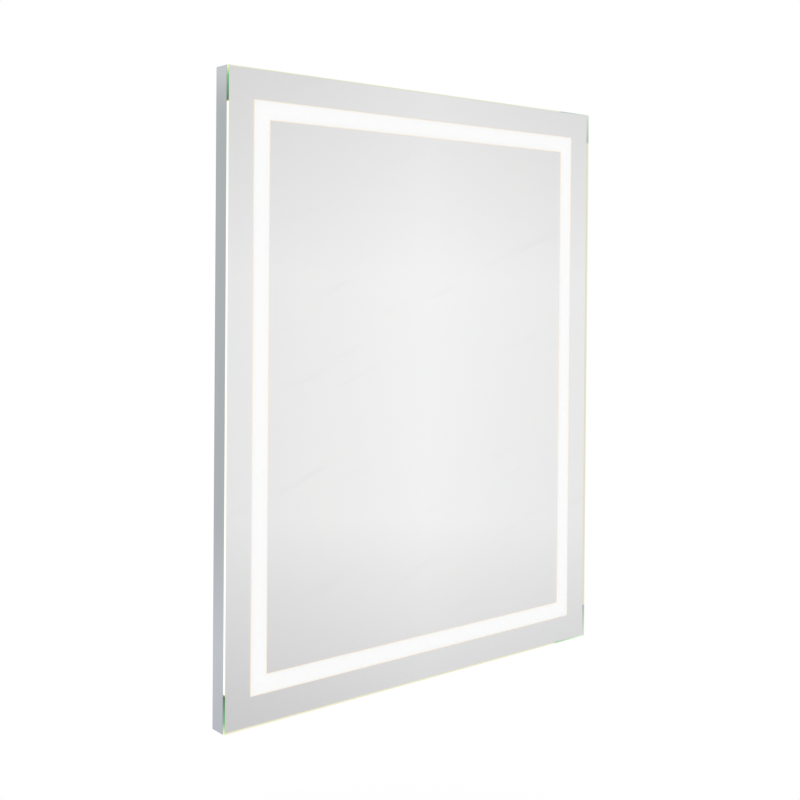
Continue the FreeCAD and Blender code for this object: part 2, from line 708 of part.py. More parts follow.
def make_strip_link(name, angle, across, up):
    """Right-angled link whose clasps grip the ends of two strips."""
    label = f"strip_link_{name}"
    body = new_body(label)
    near = f"({BAND_MIDDLE} - Sizes.board_width / 2)"
    far = f"({BAND_MIDDLE} + Sizes.board_width / 2)"
    end = f"({BAND_MIDDLE} + Sizes.board_gap - Sizes.fit_play)"
    outline = face_sketch(body, f"{label}_board", CHANNEL_FLOOR)
    draw_polygon(
        outline,
        [(near, near), (end, near), (end, far), (far, far), (far, end), (near, end)],
    )
    add_pad(body, outline, "Sizes.board_thickness")
    clasps = face_sketch(body, f"{label}_clasps", BOARD_FRONT)
    middle = f"({BAND_MIDDLE} + Sizes.board_gap + Sizes.clasp_reach - Sizes.clasp_length / 2)"
    draw_rectangle(clasps, "Sizes.clasp_length", "Sizes.clasp_width", middle, BAND_MIDDLE)
    add_pad(body, clasps, "Sizes.clasp_height")
    other = face_sketch(body, f"{label}_clasp_up", BOARD_FRONT)
    draw_rectangle(other, "Sizes.clasp_width", "Sizes.clasp_length", BAND_MIDDLE, middle)
    add_pad(body, other, "Sizes.clasp_height")
    turn_about_y(body, angle)
    centre_on_glass(body, across, up)
    return body


# ---------------------------------------------------------------- back panel

PANEL_SCREWS = []
for edge_side in SIDES:
    along_edge = spaced(edge_side.screws, f"{edge_side.run} - 2 * Sizes.screw_margin")
    across_rows = (f"{HALF_WIDTH} - {SLOT_MIDDLE}", f"{HALF_HEIGHT} - {SLOT_MIDDLE}")
    for place_along in along_edge:
        if edge_side.name == "top":
            PANEL_SCREWS.append((place_along, across_rows[1]))
        elif edge_side.name == "bottom":
            PANEL_SCREWS.append((place_along, negative(across_rows[1])))
        elif edge_side.name == "left":
            PANEL_SCREWS.append((negative(across_rows[0]), place_along))
        else:
            PANEL_SCREWS.append((across_rows[0], place_along))

EAR_MIDDLE = "(Sizes.driver_length / 2 + Sizes.ear_length / 2)"
GLAND_END = "(Sizes.driver_length / 2 + Sizes.ear_length + Sizes.gland_length)"
DRIVER_SCREWS = [
    (negative(EAR_MIDDLE), "Sizes.driver_rise + Sizes.ear_hole_offset"),
    (EAR_MIDDLE, "Sizes.driver_rise - Sizes.ear_hole_offset"),
]
COVER_SCREWS = [
    (f"{sign}(Sizes.box_width - Sizes.boss_size) / 2", f"Sizes.box_rise + {offset}")
    for sign in ("", "-")
    for offset in (
        "(Sizes.box_height - Sizes.boss_size) / 2",
        "-(Sizes.box_height - Sizes.boss_size) / 2",
    )
]
RIVET_RISE = (
    "(Sizes.glass_height / 2 - Sizes.rail_drop + Sizes.cleat_hook + Sizes.cleat_web"
    " + Sizes.cleat_thickness / 2)"
)
RIVETS = [
    (along, RIVET_RISE)
    for along in spaced("Sizes.rivet_count", "Sizes.hanger_length - 2 * Sizes.rivet_margin")
]


def make_back_panel():
    """Steel panel on the frame's shelf, with beads, vents, a service opening and its holes."""
    body = new_body("back_panel")
    margin = "2 * (Sizes.frame_wall + Sizes.panel_play)"
    outline = face_sketch(body, "panel_outline", PANEL_REAR)
    draw_rectangle(outline, f"Sizes.glass_width - {margin}", f"Sizes.glass_height - {margin}")
    add_pad(body, outline, "Sizes.panel_thickness")
    beads = face_sketch(body, "panel_beads", PANEL_REAR)
    recesses = face_sketch(body, "panel_recesses", PANEL_REAR)
    low = "-Sizes.bead_drop - Sizes.bead_length / 2"
    high = "-Sizes.bead_drop + Sizes.bead_length / 2"
    for along in spaced("Sizes.bead_count", "(Sizes.bead_count - 1) * Sizes.bead_spacing"):
        draw_slot(beads, (along, low), (along, high), "Sizes.bead_width / 2")
        hollow = "Sizes.bead_width / 2 - Sizes.bead_height"
        draw_slot(recesses, (along, low), (along, high), hollow)
    add_pad(body, beads, "Sizes.bead_height", rearward=True)
    add_pocket(body, recesses, "Sizes.panel_thickness")
    access = face_sketch(body, "panel_access", PANEL_REAR)
    draw_rectangle(
        access,
        "Sizes.box_width - 2 * Sizes.access_margin",
        "Sizes.box_height - 2 * Sizes.box_wall",
        "0",
        "Sizes.box_rise",
    )
    add_pocket(body, access, "Sizes.panel_thickness")
    vents = face_sketch(body, "panel_vents", PANEL_REAR)
    rows = spaced("Sizes.vent_count", "(Sizes.vent_count - 1) * Sizes.vent_pitch")
    for sign in ("", "-"):
        for row_up in rows:
            up = f"Sizes.vent_rise + {row_up}"
            start = (f"{sign}(Sizes.vent_place - Sizes.vent_length / 2)", up)
            end = (f"{sign}(Sizes.vent_place + Sizes.vent_length / 2)", up)
            draw_slot(vents, start, end, "Sizes.vent_radius")
    add_pocket(body, vents, "Sizes.panel_thickness")
    holes = face_sketch(body, "panel_holes", PANEL_REAR)
    for places, radius in (
        (PANEL_SCREWS, "Sizes.screw_radius"),
        (DRIVER_SCREWS, "Sizes.driver_screw_radius"),
        (COVER_SCREWS, "Sizes.cover_screw_radius"),
        (RIVETS, "Sizes.rivet_radius"),
    ):
        for across, up in places:
            draw_circle(holes, f"{radius} + Sizes.hole_play", across, up)
    add_pocket(body, holes, "Sizes.panel_thickness")
    centre_on_glass(body)
    return body


# ---------------------------------------------------------------- fasteners


def make_turned(label, profile):
    """A round piece about a line square to the wall, from (depth, radius) pairs."""
    body = new_body(label)
    section = new_sketch(body, f"{label}_section", "YZ_Plane")
    draw_polygon(section, [(negative(depth), radius) for depth, radius in profile])
    turned = body.newObject("PartDesign::Revolution", f"{label}_turned")
    turned.Profile = section
    turned.ReferenceAxis = (section, ["H_Axis"])
    turned.Angle = 360
    doc.recompute()
    return body


def pan_head(seat, length, radius, head_radius, head_height, heading):
    """Profile of a screw: its head's seat, its shank's length and which way the shank goes."""
    tip = f"({seat} {heading} {length})"
    back = "-" if heading == "+" else "+"
    crown = f"({seat} {back} {head_height})"
    shoulder = f"({seat} {back} {head_height} / 2)"
    return [
        (tip, "0"),
        (tip, radius),
        (seat, radius),
        (seat, head_radius),
        (shoulder, head_radius),
        (crown, f"{head_radius} / 2"),
        (crown, "0"),
    ]


def make_copies(label, pattern, places):
    """Separate copies of one solid at places given from the middle of the glass."""
    copies = []
    for across, up in places:
        copies.append(pattern.Shape.translated(FreeCAD.Vector(number(across), 0, number(up))))
    group = doc.addObject("Part::Feature", label)
    group.Label = label
    group.Shape = Part.Compound(copies)
    group.Placement = FreeCAD.Placement(
        FreeCAD.Vector(0, 0, number(GLASS_MIDDLE)), FreeCAD.Rotation()
    )
    return group


def make_panel_screws():
    """Screws through the back panel into the frame's shelf."""
    profile = pan_head(
        PANEL_REAR,
        "Sizes.screw_length",
        "Sizes.screw_radius",
        "Sizes.head_radius",
        "Sizes.head_height",
        "+",
    )
    return make_copies("panel_screws", make_turned("panel_screw_pattern", profile), PANEL_SCREWS)


def make_driver_screws():
    """Screws through the driver's ears and the back panel."""
    seat = f"({PANEL_FRONT} + Sizes.ear_thickness)"
    profile = pan_head(
        seat,
        "Sizes.driver_screw_length",
        "Sizes.driver_screw_radius",
        "Sizes.head_radius",
        "Sizes.head_height",
        "-",
    )
    pattern = make_turned("driver_screw_pattern", profile)
    return make_copies("driver_screws", pattern, DRIVER_SCREWS)


def make_cover_screws():
    """Screws through the service cover and the back panel into the wiring box's bosses."""
    seat = f"({PANEL_REAR} - Sizes.cover_thickness)"
    profile = pan_head(
        seat,
        "Sizes.cover_screw_length",
        "Sizes.cover_screw_radius",
        "Sizes.cover_head_radius",
        "Sizes.cover_head_height",
        "+",
    )
    pattern = make_turned("cover_screw_pattern", profile)
    return make_copies("service_cover_screws", pattern, COVER_SCREWS)


def make_rivets():
    """Rivets that hold the hanger rail's web to the back panel."""
    web_rear = f"({PANEL_REAR} - Sizes.cleat_thickness)"
    head = f"({web_rear} - Sizes.rivet_head_height)"
    tail = f"({PANEL_FRONT} + Sizes.rivet_tail_height)"
    profile = [
        (head, "0"),
        (head, "Sizes.rivet_head_radius * 0.6"),
        (web_rear, "Sizes.rivet_head_radius"),
        (web_rear, "Sizes.rivet_radius"),
        (PANEL_FRONT, "Sizes.rivet_radius"),
        (PANEL_FRONT, "Sizes.rivet_tail_radius"),
        (tail, "Sizes.rivet_tail_radius"),
        (tail, "0"),
    ]
    return make_copies("hanger_rivets", make_turned("rivet_pattern", profile), RIVETS)


def make_grub_screws():
    """Grub screws in the corner keys, tight against the frame's shelf."""
    tip = f"({SHELF_FRONT} + Sizes.grub_length)"
    radius = "Sizes.grub_radius"
    profile = [(SHELF_FRONT, "0"), (SHELF_FRONT, radius), (tip, radius), (tip, "0")]
    places = []
    for side_across in ("", "-"):
        for side_up in ("", "-"):
            for along, inward in (
                ("Sizes.grub_place", SLOT_MIDDLE),
                (SLOT_MIDDLE, "Sizes.grub_place"),
            ):
                across = f"{side_across}({HALF_WIDTH} - {along})"
                places.append((across, f"{side_up}({HALF_HEIGHT} - {inward})"))
    return make_copies("corner_grub_screws", make_turned("grub_pattern", profile), places)


# ---------------------------------------------------------------- driver


def make_driver():
    """Sealed LED driver: rounded case, mounting ears, grooves and a cable outlet at each end."""
    body = new_body("led_driver")
    case = face_sketch(body, "driver_case", PANEL_FRONT)
    draw_rectangle(case, "Sizes.driver_length", "Sizes.driver_width")
    add_pad(body, case, "Sizes.driver_height")
    front = -number(f"{PANEL_FRONT} + Sizes.driver_height")

    def is_rounded(edge):
        level = all(abs(vertex.Y - front) < 1e-6 for vertex in edge.Vertexes)
        return level or runs_along_y(edge)

    add_edge_feature(body, "Fillet", is_rounded, "Radius", "Sizes.driver_round")
    groove = face_sketch(body, "driver_groove", f"{PANEL_FRONT} + Sizes.driver_height")
    span = "((Sizes.rib_count - 1) * Sizes.rib_pitch)"
    length = "Sizes.driver_length - 2 * Sizes.rib_margin"
    draw_rectangle(groove, length, "Sizes.rib_width", "0", f"-{span} / 2")
    first = add_pocket(body, groove, "Sizes.rib_depth", forward=False)
    add_row(body, first, (groove, ["V_Axis"]), whole("Sizes.rib_count"), span)
    ears = face_sketch(body, "driver_ears", PANEL_FRONT)
    draw_rectangle(
        ears,
        "Sizes.driver_length + 2 * Sizes.ear_length",
        "Sizes.driver_width - 2 * Sizes.driver_round",
    )
    add_pad(body, ears, "Sizes.ear_thickness")
    outlets = new_sketch(body, "driver_outlets", "YZ_Plane")
    draw_circle(outlets, "Sizes.gland_radius", negative(CABLE_DEPTH), "0")
    add_pad(body, outlets, f"2 * {GLAND_END}", symmetric=True)
    holes = face_sketch(body, "driver_holes", PANEL_FRONT)
    for sign, offset in (("-", "Sizes.ear_hole_offset"), ("", "-Sizes.ear_hole_offset")):
        radius = "Sizes.driver_screw_radius + Sizes.hole_play"
        draw_circle(holes, radius, f"{sign}{EAR_MIDDLE}", offset)
    add_pocket(body, holes, "Sizes.ear_thickness")
    centre_on_glass(body, "0", "Sizes.driver_rise")
    return body


# ---------------------------------------------------------------- wiring box and cover


def make_wiring_box():
    """Tray behind the service opening, with a screw boss in each corner."""
    body = new_body("wiring_box")
    shell = face_sketch(body, "box_shell", PANEL_FRONT)
    draw_rectangle(shell, "Sizes.box_width", "Sizes.box_height")
    add_pad(body, shell, "Sizes.box_depth")
    hollow = face_sketch(body, "box_hollow", PANEL_FRONT)
    right = "(Sizes.box_width / 2 - Sizes.box_wall)"
    top = "(Sizes.box_height / 2 - Sizes.box_wall)"
    boss_across = "(Sizes.box_width / 2 - Sizes.boss_size)"
    boss_up = "(Sizes.box_height / 2 - Sizes.boss_size)"
    quarter = [(right, boss_up), (boss_across, boss_up), (boss_across, top)]
    outline = list(quarter)
    outline += [(negative(across), up) for across, up in reversed(quarter)]
    outline += [(negative(across), negative(up)) for across, up in quarter]
    outline += [(across, negative(up)) for across, up in reversed(quarter)]
    draw_polygon(hollow, outline)
    add_pocket(body, hollow, "Sizes.box_depth - Sizes.box_wall")
    holes = face_sketch(body, "box_holes", PANEL_FRONT)
    for across, up in COVER_SCREWS:
        radius = "Sizes.cover_screw_radius + Sizes.hole_play"
        draw_circle(holes, radius, across, f"{up} - Sizes.box_rise")
    add_pocket(body, holes, "Sizes.box_depth - Sizes.box_wall")
    outlet = new_sketch(body, "box_outlet", "YZ_Plane", "Sizes.box_width / 2")
    draw_circle(outlet, "Sizes.cable_radius + Sizes.fit_play", negative(CABLE_DEPTH), "0")
    add_pocket(body, outlet, "Sizes.box_wall", forward=False)
    centre_on_glass(body, "0", "Sizes.box_rise")
    return body


def make_service_cover():
    """Plate over the service opening, with a hole for the cable grommet."""
    body = new_body("service_cover")
    outline = face_sketch(body, "cover_outline", f"{PANEL_REAR} - Sizes.cover_thickness")
    draw_rectangle(
        outline,
        "Sizes.box_width + 2 * Sizes.cover_overlap",
        "Sizes.box_height + 2 * Sizes.cover_overlap",
    )
    add_pad(body, outline, "Sizes.cover_thickness")
    add_edge_feature(body, "Fillet", runs_along_y, "Radius", "Sizes.cover_round")
    holes = face_sketch(body, "cover_holes", PANEL_REAR)
    for across, up in COVER_SCREWS:
        radius = "Sizes.cover_screw_radius + Sizes.hole_play"
        draw_circle(holes, radius, across, f"{up} - Sizes.box_rise")
    draw_circle(holes, "Sizes.grommet_neck + Sizes.hole_play", "-Sizes.grommet_offset", "0")
    add_pocket(body, holes)
    centre_on_glass(body, "0", "Sizes.box_rise")
    return body


def make_grommet():
    """Rubber grommet whose flanges grip the service cover."""
    cover_rear = f"({PANEL_REAR} - Sizes.cover_thickness)"
    rear = f"({cover_rear} - Sizes.grommet_lip)"
    front = f"({PANEL_REAR} + Sizes.grommet_lip)"
    profile = [
        (rear, "Sizes.grommet_bore"),
        (rear, "Sizes.grommet_flange"),
        (cover_rear, "Sizes.grommet_flange"),
        (cover_rear, "Sizes.grommet_neck"),
        (PANEL_REAR, "Sizes.grommet_neck"),
        (PANEL_REAR, "Sizes.grommet_flange"),
        (front, "Sizes.grommet_flange"),
        (front, "Sizes.grommet_bore"),
    ]
    body = make_turned("cable_grommet", profile)
    centre_on_glass(body, "-Sizes.grommet_offset", "Sizes.box_rise")
    return body


POLES = spaced("3", "2 * Sizes.pole_pitch")
ENTRY_DEPTH = f"({BLOCK_REAR} + Sizes.well_depth + Sizes.entry_radius)"


def make_terminal_block():
    """Three-pole block on the floor of the wiring box: screw wells and wire entries."""
    body = new_body("terminal_block")
    base = face_sketch(body, "block_base", BLOCK_REAR)
    draw_rectangle(base, "Sizes.block_width", "Sizes.block_height")
    add_pad(body, base, "Sizes.block_depth")
    wells = face_sketch(body, "block_wells", BLOCK_REAR)
    for up in POLES:
        for across in ("Sizes.well_offset", "-Sizes.well_offset"):
            draw_circle(wells, "Sizes.well_radius", across, up)
    add_pocket(body, wells, "Sizes.well_depth")
    entries = new_sketch(body, "block_entries", "YZ_Plane", "Sizes.block_width / 2")
    for up in POLES:
        draw_circle(entries, "Sizes.entry_radius", negative(ENTRY_DEPTH), up)
    add_pocket(body, entries, "Sizes.entry_depth", forward=False)
    mains = new_sketch(body, "block_mains_entries", "YZ_Plane", "-Sizes.block_width / 2")
    for up in POLES:
        draw_circle(mains, "Sizes.entry_radius", negative(ENTRY_DEPTH), up)
    add_pocket(body, mains, "Sizes.entry_depth")
    centre_on_glass(body, "Sizes.block_offset", "Sizes.box_rise")
    return body


def make_terminal_screws():
    """Clamping screws at the bottom of the terminal block's wells."""
    floor = f"({BLOCK_REAR} + Sizes.well_depth)"
    top = f"({floor} - Sizes.terminal_screw_height)"
    radius = "Sizes.terminal_screw_radius"
    profile = [(top, "0"), (top, radius), (floor, radius), (floor, "0")]
    places = [
        (f"Sizes.block_offset + {offset}", f"Sizes.box_rise + {up}")
        for up in POLES
        for offset in ("Sizes.well_offset", "-Sizes.well_offset")
    ]
    return make_copies("terminal_screws", make_turned("clamp_pattern", profile), places)


def make_earth_screw():
    """Brass screw on the box's floor, its nut over the earth lead's lug."""
    body = new_body("earth_screw")
    nut_front = f"({BOX_FLOOR} - Sizes.lug_thickness)"
    nut = face_sketch(body, "earth_nut", nut_front)
    corners = []
    for step in range(6):
        across = f"Sizes.stud_nut_radius * {math.cos(math.pi * step / 3):.9f}"
        up = f"Sizes.stud_nut_radius * {math.sin(math.pi * step / 3):.9f}"
        corners.append((across, up))
    draw_polygon(nut, corners)
    add_pad(body, nut, "Sizes.stud_nut_height", rearward=True)
    stud = face_sketch(body, "earth_stud", BOX_FLOOR)
    draw_circle(stud, "Sizes.stud_radius")
    add_pad(body, stud, "Sizes.stud_height", rearward=True)
    centre_on_glass(body, "-Sizes.stud_offset", "Sizes.box_rise + Sizes.stud_rise")
    return body


# ---------------------------------------------------------------- cables


def bent_wire(points, radius, label):
    """A round cable along points: straight runs joined by tangent arcs.

    Each arc is as large as its two runs allow: 0.45 of the shorter one, divided by the tangent
    of half the turn. The points are (across, depth, up), from the middle of the glass.
    """
    route = [FreeCAD.Vector(number(x), -number(depth), number(z)) for x, depth, z in points]
    edges = []
    start = route[0]
    for before, corner, after in zip(route, route[1:], route[2:]):
        arriving = (corner - before).normalize()
        leaving = (after - corner).normalize()
        half_turn = arriving.getAngle(leaving) / 2
        setback = 0.45 * min((corner - before).Length, (after - corner).Length)
        bend = setback / math.tan(half_turn)
        print(f"{label}: bend radius {bend:.1f} mm")
        arc_start = corner - arriving * setback
        arc_end = corner + leaving * setback
        inward = (leaving - arriving).normalize()
        centre = corner + inward * (bend / math.cos(half_turn))
        arc_middle = centre - inward * bend
        edges.append(Part.LineSegment(start, arc_start).toShape())
        edges.append(Part.Arc(arc_start, arc_middle, arc_end).toShape())
        start = arc_end
    edges.append(Part.LineSegment(start, route[-1]).toShape())
    path = Part.Wire(edges)
    ring = Part.Wire(Part.Circle(route[0], route[1] - route[0], number(radius)).toShape())
    cable = path.makePipeShell([ring], True, False)
    expected = math.pi * number(radius) ** 2 * path.Length
    if abs(cable.Volume - expected) > 0.01 * expected:
        raise ValueError(f"{label}: the cable's volume doesn't match its length")
    return cable


def make_cable(label, pieces):
    """A sub-part of one or more fused wires, drawn about the middle of the glass."""
    shape = pieces[0]
    for piece in pieces[1:]:
        shape = shape.fuse(piece)
    cable = doc.addObject("Part::Feature", label)
    cable.Label = label
    cable.Shape = shape.removeSplitter()
    cable.Placement = FreeCAD.Placement(
        FreeCAD.Vector(0, 0, number(GLASS_MIDDLE)), FreeCAD.Rotation()
    )
    return cable


INPUT_TURN = f"({GLAND_END} + Sizes.input_reach)"
OUTPUT_TURN = f"-({GLAND_END} + Sizes.output_reach)"
FEED_ACROSS = f"-({HALF_WIDTH} - {BAND_MIDDLE})"


def make_input_cable():
    """Cable from the wiring box to the driver, with two leads on into the terminal block."""
    label = "driver_input_cable"
    sheath_end = "(Sizes.box_width / 2 - Sizes.sheath_entry)"
    sheath = bent_wire(
        [
            (GLAND_END, CABLE_DEPTH, "Sizes.driver_rise"),
            (INPUT_TURN, CABLE_DEPTH, "Sizes.driver_rise"),
            (INPUT_TURN, CABLE_DEPTH, "Sizes.box_rise"),
            (sheath_end, CABLE_DEPTH, "Sizes.box_rise"),
        ],
        "Sizes.cable_radius",
        label,
    )
    pieces = [sheath]
    block_side = "(Sizes.block_offset + Sizes.block_width / 2)"
    for sign, pole in (("+", POLES[2]), ("-", POLES[0])):
        start_up = f"Sizes.box_rise {sign} Sizes.lead_spread / 2"
        pole_up = f"Sizes.box_rise + {pole}"
        lead = bent_wire(
            [
                (f"{sheath_end} + Sizes.sheath_cover", CABLE_DEPTH, start_up),
                (f"{sheath_end} - Sizes.lead_run", CABLE_DEPTH, start_up),
                (f"{block_side} + Sizes.lead_setback", ENTRY_DEPTH, pole_up),
                (f"{block_side} - Sizes.lead_entry", ENTRY_DEPTH, pole_up),
            ],
            "Sizes.lead_radius",
            label,
        )
        pieces.append(lead)
    return make_cable(label, pieces)


def make_output_cable():
    """Cable from the driver to the feed connector behind the left light channel."""
    label = "driver_output_cable"
    start = negative(GLAND_END)
    end = f"({FEED_ACROSS} + Sizes.feed_width / 2)"
    route = [
        (start, CABLE_DEPTH, "Sizes.driver_rise"),
        (OUTPUT_TURN, CABLE_DEPTH, "Sizes.driver_rise"),
        (OUTPUT_TURN, CABLE_DEPTH, "Sizes.feed_rise"),
        (end, CABLE_DEPTH, "Sizes.feed_rise"),
    ]
    return make_cable(label, [bent_wire(route, "Sizes.cable_radius", label)])


def make_earth_lead():
    """Wire from the terminal block's middle pole to a ring lug on the earth screw."""
    label = "earth_lead"
    block_side = "(Sizes.block_offset - Sizes.block_width / 2)"
    lug_depth = f"({BOX_FLOOR} - Sizes.lug_radius / 2)"
    stud_up = "Sizes.box_rise + Sizes.stud_rise"
    wire = bent_wire(
        [
            (f"{block_side} + Sizes.lead_entry", ENTRY_DEPTH, "Sizes.box_rise"),
            (f"{block_side} - Sizes.earth_run", ENTRY_DEPTH, "Sizes.box_rise"),
            (f"{block_side} - Sizes.earth_run - Sizes.earth_step", lug_depth, stud_up),
            ("-Sizes.stud_offset + Sizes.lug_radius", lug_depth, stud_up),
        ],
        "Sizes.lead_radius",
        label,
    )
    stud = FreeCAD.Vector(-number("Sizes.stud_offset"), -number(BOX_FLOOR), number(stud_up))
    outward = FreeCAD.Vector(0, 1, 0)
    thickness = number("Sizes.lug_thickness")
    ring = Part.makeCylinder(number("Sizes.lug_radius"), thickness, stud, outward)
    hole_radius = number("Sizes.stud_radius + Sizes.hole_play")
    ring = ring.cut(Part.makeCylinder(hole_radius, thickness, stud, outward))
    barrel = Part.makeBox(
        number("Sizes.lug_radius"),
        number(f"{BOX_FLOOR} - {lug_depth} + Sizes.lead_radius"),
        2 * number("Sizes.lead_radius"),
        FreeCAD.Vector(
            stud.x + number("Sizes.stud_nut_radius"),
            stud.y,
            stud.z - number("Sizes.lead_radius"),
        ),
    )
    return make_cable(label, [wire, ring, barrel])


def make_cable_clips():
    """Clips on the back panel, each with a bore that a cable lies in."""
    upright = [
        (INPUT_TURN, "(Sizes.driver_rise + Sizes.box_rise) / 2"),
        (OUTPUT_TURN, "(Sizes.driver_rise + Sizes.feed_rise) / 2"),
    ]
    level = [
        (f"({OUTPUT_TURN} - Sizes.clip_near)", "Sizes.feed_rise"),
        (f"({FEED_ACROSS} + Sizes.feed_width / 2 + Sizes.clip_far)", "Sizes.feed_rise"),
    ]
    thickness = "Sizes.clip_base + 2 * Sizes.cable_radius + Sizes.clip_cover"
    bore_radius = "Sizes.cable_radius + Sizes.hole_play"
    clips = []
    for places, width, height, axis in (
        (upright, "Sizes.clip_width", "Sizes.clip_length", FreeCAD.Vector(0, 0, 1)),
        (level, "Sizes.clip_length", "Sizes.clip_width", FreeCAD.Vector(1, 0, 0)),
    ):
        for across, up in places:
            name = f"clip_{len(clips)}"
            block = make_box(f"{name}_block", width, height, thickness, across, up, PANEL_FRONT)
            bore = doc.addObject("Part::Cylinder", f"{name}_bore")
            bore.setExpression("Radius", bore_radius)
            bore.setExpression("Height", "2 * Sizes.clip_length")
            turned = FreeCAD.Rotation(FreeCAD.Vector(0, 0, 1), axis)
            bore.Placement = FreeCAD.Placement(FreeCAD.Vector(), turned)
            bore.setExpression("Placement.Base.x", f"{across} - {axis.x} * Sizes.clip_length")
            bore.setExpression("Placement.Base.y", negative(CABLE_DEPTH))
            bore.setExpression("Placement.Base.z", f"{up} - {axis.z} * Sizes.clip_length")
            clip = doc.addObject("Part::Cut", name)
            clip.Base = block
            clip.Tool = bore
            clips.append(clip)
    return make_group("cable_clips", clips)


def make_feed_connector():
    """Connector on the back of the left light channel, its neck through the channel's floor."""
    body = new_body("feed_connector")
    housing = face_sketch(body, "feed_housing", CHANNEL_REAR)
    draw_rectangle(housing, "Sizes.feed_width", "Sizes.feed_height")
    add_pad(body, housing, "Sizes.feed_depth", rearward=True)
    neck = face_sketch(body, "feed_neck", CHANNEL_REAR)
    draw_rectangle(neck, "Sizes.plug_width", "Sizes.plug_height")
    add_pad(body, neck, "Sizes.channel_wall")
    centre_on_glass(body, FEED_ACROSS, "Sizes.feed_rise")
    return body


# ---------------------------------------------------------------- hanging


def make_wall_rail():
    """Wall rail: web on the wall, ledge and an upright hook, with slots and holes for screws."""
    body = new_body("wall_rail")
    half = "Sizes.cleat_web / 2"
    web = "Sizes.cleat_thickness"
    hook_rear = "(Sizes.cleat_thickness + 2 * Sizes.cleat_play)"
    hook_front = f"({hook_rear} + Sizes.cleat_thickness)"
    section = new_sketch(body, "wall_rail_section", "YZ_Plane")
    points = [
        ("0", f"-{half}"),
        (web, f"-{half}"),
        (web, f"{half} - Sizes.cleat_thickness"),
        (hook_front, f"{half} - Sizes.cleat_thickness"),
        (hook_front, HOOK_TOP),
        (hook_rear, HOOK_TOP),
        (hook_rear, half),
        ("0", half),
    ]
    draw_polygon(section, [(depth if depth == "0" else negative(depth), up) for depth, up in points])
    add_pad(body, section, "Sizes.wall_rail_length", symmetric=True)
    openings = face_sketch(body, "wall_rail_openings", "0")
    end = "(Sizes.slot_length / 2 - Sizes.slot_radius)"
    for sign in ("", "-"):
        middle = f"{sign}Sizes.slot_spacing / 2"
        draw_slot(openings, (f"{middle} - {end}", "0"), (f"{middle} + {end}", "0"), "Sizes.slot_radius")
        draw_circle(openings, "Sizes.slot_radius", f"{sign}Sizes.hole_spacing / 2", "0")
    add_pocket(body, openings, web)
    return body


def make_hanger_rail():
    """Hanger rail: web riveted to the back panel, ledge and a hook that hangs behind the other."""
    body = new_body("hanger_rail")
    web_rear = f"({PANEL_REAR} - Sizes.cleat_thickness)"
    hook_rear = "Sizes.cleat_play"
    hook_front = "(Sizes.cleat_play + Sizes.cleat_thickness)"
    ledge_top = f"({HOOK_TOP} + Sizes.cleat_thickness)"
    web_top = f"({HOOK_TOP} + Sizes.cleat_web)"
    hook_low = "(Sizes.cleat_web / 2 + Sizes.hook_clearance)"
    section = new_sketch(body, "hanger_section", "YZ_Plane")
    points = [
        (PANEL_REAR, HOOK_TOP),
        (PANEL_REAR, web_top),
        (web_rear, web_top),
        (web_rear, ledge_top),
        (hook_rear, ledge_top),
        (hook_rear, hook_low),
        (hook_front, hook_low),
        (hook_front, HOOK_TOP),
    ]
    draw_polygon(section, [(negative(depth), up) for depth, up in points])
    add_pad(body, section, "Sizes.hanger_length", symmetric=True)
    holes = face_sketch(body, "hanger_holes", web_rear)
    for across, up in RIVETS:
        radius = "Sizes.rivet_radius + Sizes.hole_play"
        draw_circle(holes, radius, across, f"{up} + {GLASS_MIDDLE}")
    add_pocket(body, holes, "Sizes.cleat_thickness")
    return body


def make_bumper(name, sign):
    """Rubber bumper between the back panel and the wall."""
    radius = "Sizes.bumper_radius"
    bevel = "(Sizes.bumper_radius - Sizes.bumper_round)"
    profile = [
        ("0", "0"),
        ("0", bevel),
        ("Sizes.bumper_round", radius),
        (PANEL_REAR, radius),
        (PANEL_REAR, "0"),
    ]
    body = make_turned(f"bumper_{name}", profile)
    across = f"{sign}({HALF_WIDTH} - Sizes.bumper_inset)"
    centre_on_glass(body, across, f"-({HALF_HEIGHT} - Sizes.bumper_inset)")
    return body


# ---------------------------------------------------------------- the whole mirror


def make_parts():
    """Every sub-part, from the front of the mirror to the wall."""
    parts = [make_glass()]
    parts += make_silvering()
    tape_outer = "(Sizes.frame_wall + Sizes.tape_margin)"
    tape_inner = "(Sizes.flange_width - Sizes.tape_margin)"
    parts.append(make_tape("frame_tape", [(tape_outer, tape_inner)]))
    channel_near = f"({CHANNEL_HALF} + Sizes.tape_margin)"
    channel_far = f"({CHANNEL_HALF} + Sizes.lip_width - Sizes.tape_margin)"
    bands = [
        (f"({BAND_MIDDLE} - {channel_far})", f"({BAND_MIDDLE} - {channel_near})"),
        (f"({BAND_MIDDLE} + {channel_near})", f"({BAND_MIDDLE} + {channel_far})"),
    ]
    parts.append(make_tape("channel_tape", bands))
    for side in SIDES:
        parts.append(make_frame_rail(side))
        parts.append(make_light_channel(side))
        parts.append(make_diffuser(side))
        parts.append(make_led_strip(side))
    for corner in CORNERS:
        parts.append(make_corner_key(*corner))
        if corner[0] != "bottom_left":
            parts.append(make_strip_link(*corner))
    parts.append(make_grub_screws())
    parts.append(make_back_panel())
    parts.append(make_panel_screws())
    parts.append(make_driver())
    parts.append(make_driver_screws())
    parts.append(make_wiring_box())
    parts.append(make_terminal_block())
    parts.append(make_terminal_screws())
    parts.append(make_earth_screw())
    parts.append(make_earth_lead())
    parts.append(make_service_cover())
    parts.append(make_cover_screws())
    parts.append(make_grommet())
    parts.append(make_input_cable())
    parts.append(make_output_cable())
    parts.append(make_feed_connector())
    parts.append(make_cable_clips())
    parts.append(make_hanger_rail())
    parts.append(make_rivets())
    parts.append(make_wall_rail())
    parts.append(make_bumper("left", "-"))
    parts.append(make_bumper("right", ""))
    return parts


